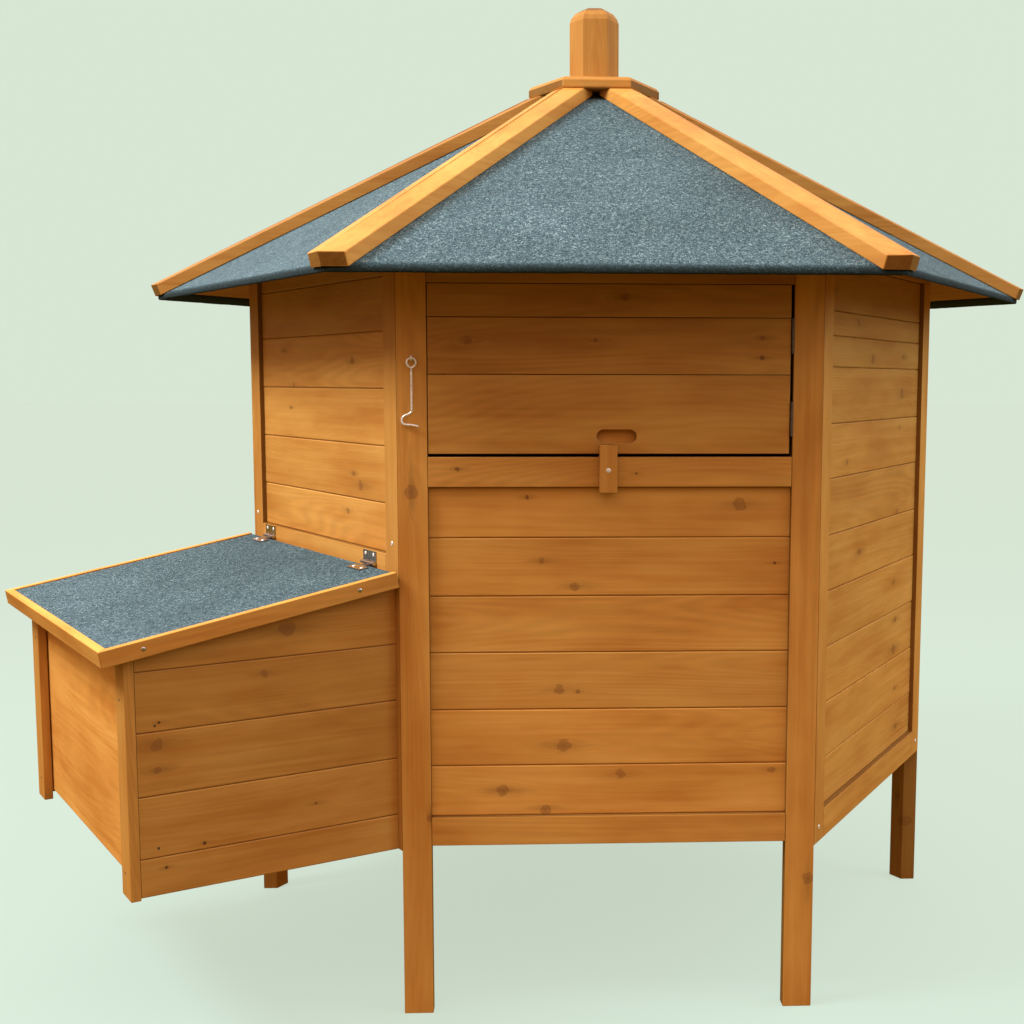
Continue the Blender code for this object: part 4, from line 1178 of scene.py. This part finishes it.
def add_roof():
    tones = {"front_left": 0.95, "front_right": 0.72, "left": 0.0, "right": 0.15}
    for index, wall in enumerate(WALLS):
        add_roof_panel(index, wall)
    for index, corner in enumerate(CORNERS):
        name = "hip_batten_" + corner
        knots = random_knots(name, (0.15, 0.7), (-0.02, 0.02), 2, 0.005)
        timber(name + "_timber", batten_shape(), hip_frame(index), [name], knots=knots, tone=tones.get(corner))


def turned_hexagon(profile):
    """Six-sided rings joined from the bottom up, corners over the hips, closed at both ends."""
    work = bmesh.new()
    rings = []
    for radius, height in profile:
        corners = [(radius * cos(k * HEX), radius * sin(k * HEX), height) for k in range(6)]
        rings.append([work.verts.new(corner) for corner in corners])
    for lower, upper in zip(rings, rings[1:]):
        for k in range(6):
            following = (k + 1) % 6
            work.faces.new((lower[k], lower[following], upper[following], upper[k]))
    work.faces.new(list(reversed(rings[0])))
    work.faces.new(rings[-1])
    bmesh.ops.recalc_face_normals(work, faces=work.faces)
    return work


def add_cap_and_finial():
    low, high = CAP_Z
    profile = [(CAP_R - 0.002, low), (CAP_R, low + 0.002), (CAP_R, high - 0.006), (CAP_R - 0.005, high)]
    shape = soften(turned_hexagon(profile), 0.0012)
    timber("cap_plate_timber", shape, HOUSE, ["cap_plate"], tone=0.30)
    low, high = FINIAL_Z
    shoulder = high - 0.0256
    profile = [(FINIAL_R - 0.0008, low), (FINIAL_R, low + 0.0008), (FINIAL_R, shoulder)]
    profile += [(FINIAL_R * 0.93, shoulder + 0.0085), (FINIAL_R * 0.78, shoulder + 0.0165)]
    profile += [(FINIAL_R * 0.52, shoulder + 0.0225), (FINIAL_R * 0.22, high)]
    shape = soften(turned_hexagon(profile), 0.0010, 2, radians(32))
    timber("finial_timber", shape, HOUSE, ["finial"], along="z", tone=0.15)


# Inside the house, and the door at its back


def hexagon(apothem):
    radius = apothem / cos(HALF_HEX)
    return [(radius * cos(k * HEX), radius * sin(k * HEX)) for k in range(6)]


def add_floor_and_perch():
    shape = soften(slab(hexagon(INNER_APOTHEM - GAP), *FLOOR_Z), 0.0008)
    timber("floor_boards", shape, HOUSE, ["floor"], tone=0.2)
    low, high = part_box("perch")
    near, far = low.y - CENTRE.y, high.y - CENTRE.y
    reach = APOTHEM - SET_BACK - BOARD_T - 0.001
    half = [(reach - y * sin(HALF_HEX)) / cos(HALF_HEX) for y in (near, far)]
    outline = [(-half[0], near), (half[0], near), (half[1], far), (-half[1], far)]
    timber("perch_bar", soften(slab(outline, *PERCH_Z), 0.006, 3), HOUSE, ["perch"], tone=0.4)


def add_ramp_door():
    """Three boards side by side with cleats across them, the cleats' screws and the hinge's screws."""
    low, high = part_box("ramp_door")
    back = BACK.inverted()
    ends = sorted((back @ Vector((x, 0, 0))).x for x in (low.x, high.x))
    face = SET_BACK - 0.0005 - BOARD_T
    boards = 3
    width = (ends[1] - ends[0]) / boards
    for k in range(boards):
        left = ends[0] + k * width + (BOARD_GAP / 2 if k else 0)
        right = ends[0] + (k + 1) * width - (BOARD_GAP / 2 if k < boards - 1 else 0)
        shape = soften(block((left, face, RAMP_Z[0]), (right, face + BOARD_T, RAMP_Z[1])))
        name = f"ramp_board_{k + 1}"
        knots = random_knots(name, RAMP_Z, (left, right), 1, 0.007)
        timber(name, shape, BACK, ["ramp_door"], "ramp_door", along="z", knots=knots)
    places = []
    cleats = 6
    inward = Matrix.Rotation(radians(-90), 4, "X")
    for k in range(cleats):
        z = RAMP_Z[0] + 0.045 + 0.066 * k
        span = (DOORWAY_X[0] + 0.008, DOORWAY_X[1] - 0.008)
        inner = face + BOARD_T
        shape = soften(block((span[0], inner + 0.0001, z - 0.007), (span[1], inner + 0.010, z + 0.007)), 0.002)
        timber(f"ramp_cleat_{k + 1}", shape, BACK, ["ramp_door"], "ramp_door", tone=0.6)
        for x in (span[0] + 0.012, span[1] - 0.012):
            places.append(BACK @ Matrix.Translation((x, inner + 0.010, z)) @ inward)
    scatter("ramp_cleat_screws", SCREW, places, ZINC, "ramp_door")
    small = screw_head(0.0030)
    places = [head_on_wall(BACK, DOORWAY_X[0] + 0.03 + 0.04 * k, RAIL[1] - 0.018, -0.0015, k) for k in range(5)]
    scatter("ramp_hinge_screws", small, places, ZINC, "house")


def add_ramp_button():
    low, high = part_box("ramp_button")
    pivot_z = high.z - BUTTON_LOW
    face = SET_BACK - 0.0005 - BOARD_T - 0.0015
    place = BACK @ Matrix.Translation((SIDE / 2, face, pivot_z))
    add_button("ramp_button", "ramp_button", place, False)
    work = bmesh.new()
    length = SET_BACK - GAP - face
    bmesh.ops.create_cone(work, cap_ends=True, segments=24, radius1=0.008, radius2=0.008, depth=length)
    bmesh.ops.rotate(work, matrix=Matrix.Rotation(radians(90), 3, "X"), verts=work.verts)
    bmesh.ops.translate(work, vec=(0, length / 2 + 0.0001, 0), verts=work.verts)
    timber("ramp_button_spacer", soften(work, 0.0005), place, ["ramp_button"], "ramp_button", along="y")


# Stage


def add_stage():
    """A pale floor to the horizon, a soft sky, and two soft lamps."""
    work = bmesh.new()
    bmesh.ops.create_grid(work, x_segments=1, y_segments=1, size=60)
    floor = bpy.data.objects.new("stage_floor", mesh_from("stage_floor", work))
    floor.data.materials.append(plain_floor("stage_floor", (0.082, 0.125, 0.120), 0.80))
    floor.visible_diffuse = False
    floor.visible_glossy = False
    bpy.context.scene.collection.objects.link(floor)
    add_sky()
    target = CENTRE + Vector((0, 0, 0.75))
    add_light("key", (-2.42, -1.10, 3.2), target, 1.3, KEY_POWER, (0.95, 0.98, 1.0))
    add_light("fill", (3.4, -0.9, 2.4), target, 2.6, FILL_POWER, (0.64, 1.0, 1.15))


def add_sky():
    """Brighter overhead than at the sides and dim from below; behind the object it is a plain pale colour."""
    world = bpy.data.worlds.new("studio")
    shader = Shader(world)
    direction = shader.node("ShaderNodeTexCoord").outputs["Generated"]
    place = shader.span(shader.split(direction)[2], -1.0, 1.0)
    light = shader.ramp(place, ((0.0, GROUND_LIGHT), (0.49, GROUND_LIGHT), (0.51, HORIZON_LIGHT), (1.0, ZENITH_LIGHT)))
    seen = shader.node("ShaderNodeLightPath").outputs["Is Camera Ray"]
    shader.finish(Color=shader.mix(seen, light, BACKDROP), Strength=1.0)
    bpy.context.scene.world = world
    bpy.context.scene.view_settings.view_transform = "Standard"


def add_light(name, offset, target, size, power, colour):
    light = bpy.data.lights.new(name, "AREA")
    light.shape = "DISK"
    light.size = size
    light.energy = power
    light.color = colour
    lamp = bpy.data.objects.new(name, light)
    lamp.location = CENTRE + Vector(offset)
    lamp.rotation_euler = (target - lamp.location).to_track_quat("-Z", "Y").to_euler()
    bpy.context.scene.collection.objects.link(lamp)


def add_camera():
    """Eye height, a little left of the door, with the frame shifted as the picture was cropped."""
    place = CENTRE + Vector((-0.1231, -2.5637, 0.9516))
    yaw, pitch, roll = 0.0472, 0.1112, 0.002
    forward = Vector((sin(yaw) * cos(pitch), cos(yaw) * cos(pitch), -sin(pitch)))
    right = Vector((cos(yaw), -sin(yaw), 0))
    up = right.cross(forward)
    rolled_right = cos(roll) * right + sin(roll) * up
    rolled_up = cos(roll) * up - sin(roll) * right
    turn = Matrix((rolled_right, rolled_up, -forward)).transposed().to_4x4()
    camera = bpy.data.objects.new("camera", bpy.data.cameras.new("camera"))
    camera.matrix_world = Matrix.Translation(place) @ turn
    camera.data.sensor_width = 36
    camera.data.lens = 49.0
    camera.data.shift_x = -0.0782
    camera.data.shift_y = 0.0242
    bpy.context.scene.collection.objects.link(camera)
    bpy.context.scene.camera = camera


add_walls()
add_wall_plate()
add_door()
add_button("turn_button", "turn_button", FRONT @ Matrix.Translation((BUTTON_AT[0], -0.0015, BUTTON_AT[1])), True)
add_hook()
add_nest_box()
add_lid()
add_roof()
add_cap_and_finial()
add_floor_and_perch()
add_ramp_door()
add_ramp_button()
DOOR_HINGES = ("door_hinge_lower", "door_hinge_upper")
LEAVES = [f"lid_hinge_{side}_leaf_{end}" for side in ("wall", "lid") for end in ("front", "back")]
for kept in (*LEAVES, "ramp_hinge"):
    keep_cad(kept, HINGE_PLATE)
# The door hinges get near-black steel as painted shade, for the gaps that they show through.
for kept in DOOR_HINGES:
    keep_cad(kept, DULL_AND_PAINTED_SHADE)
add_stage()
add_camera()
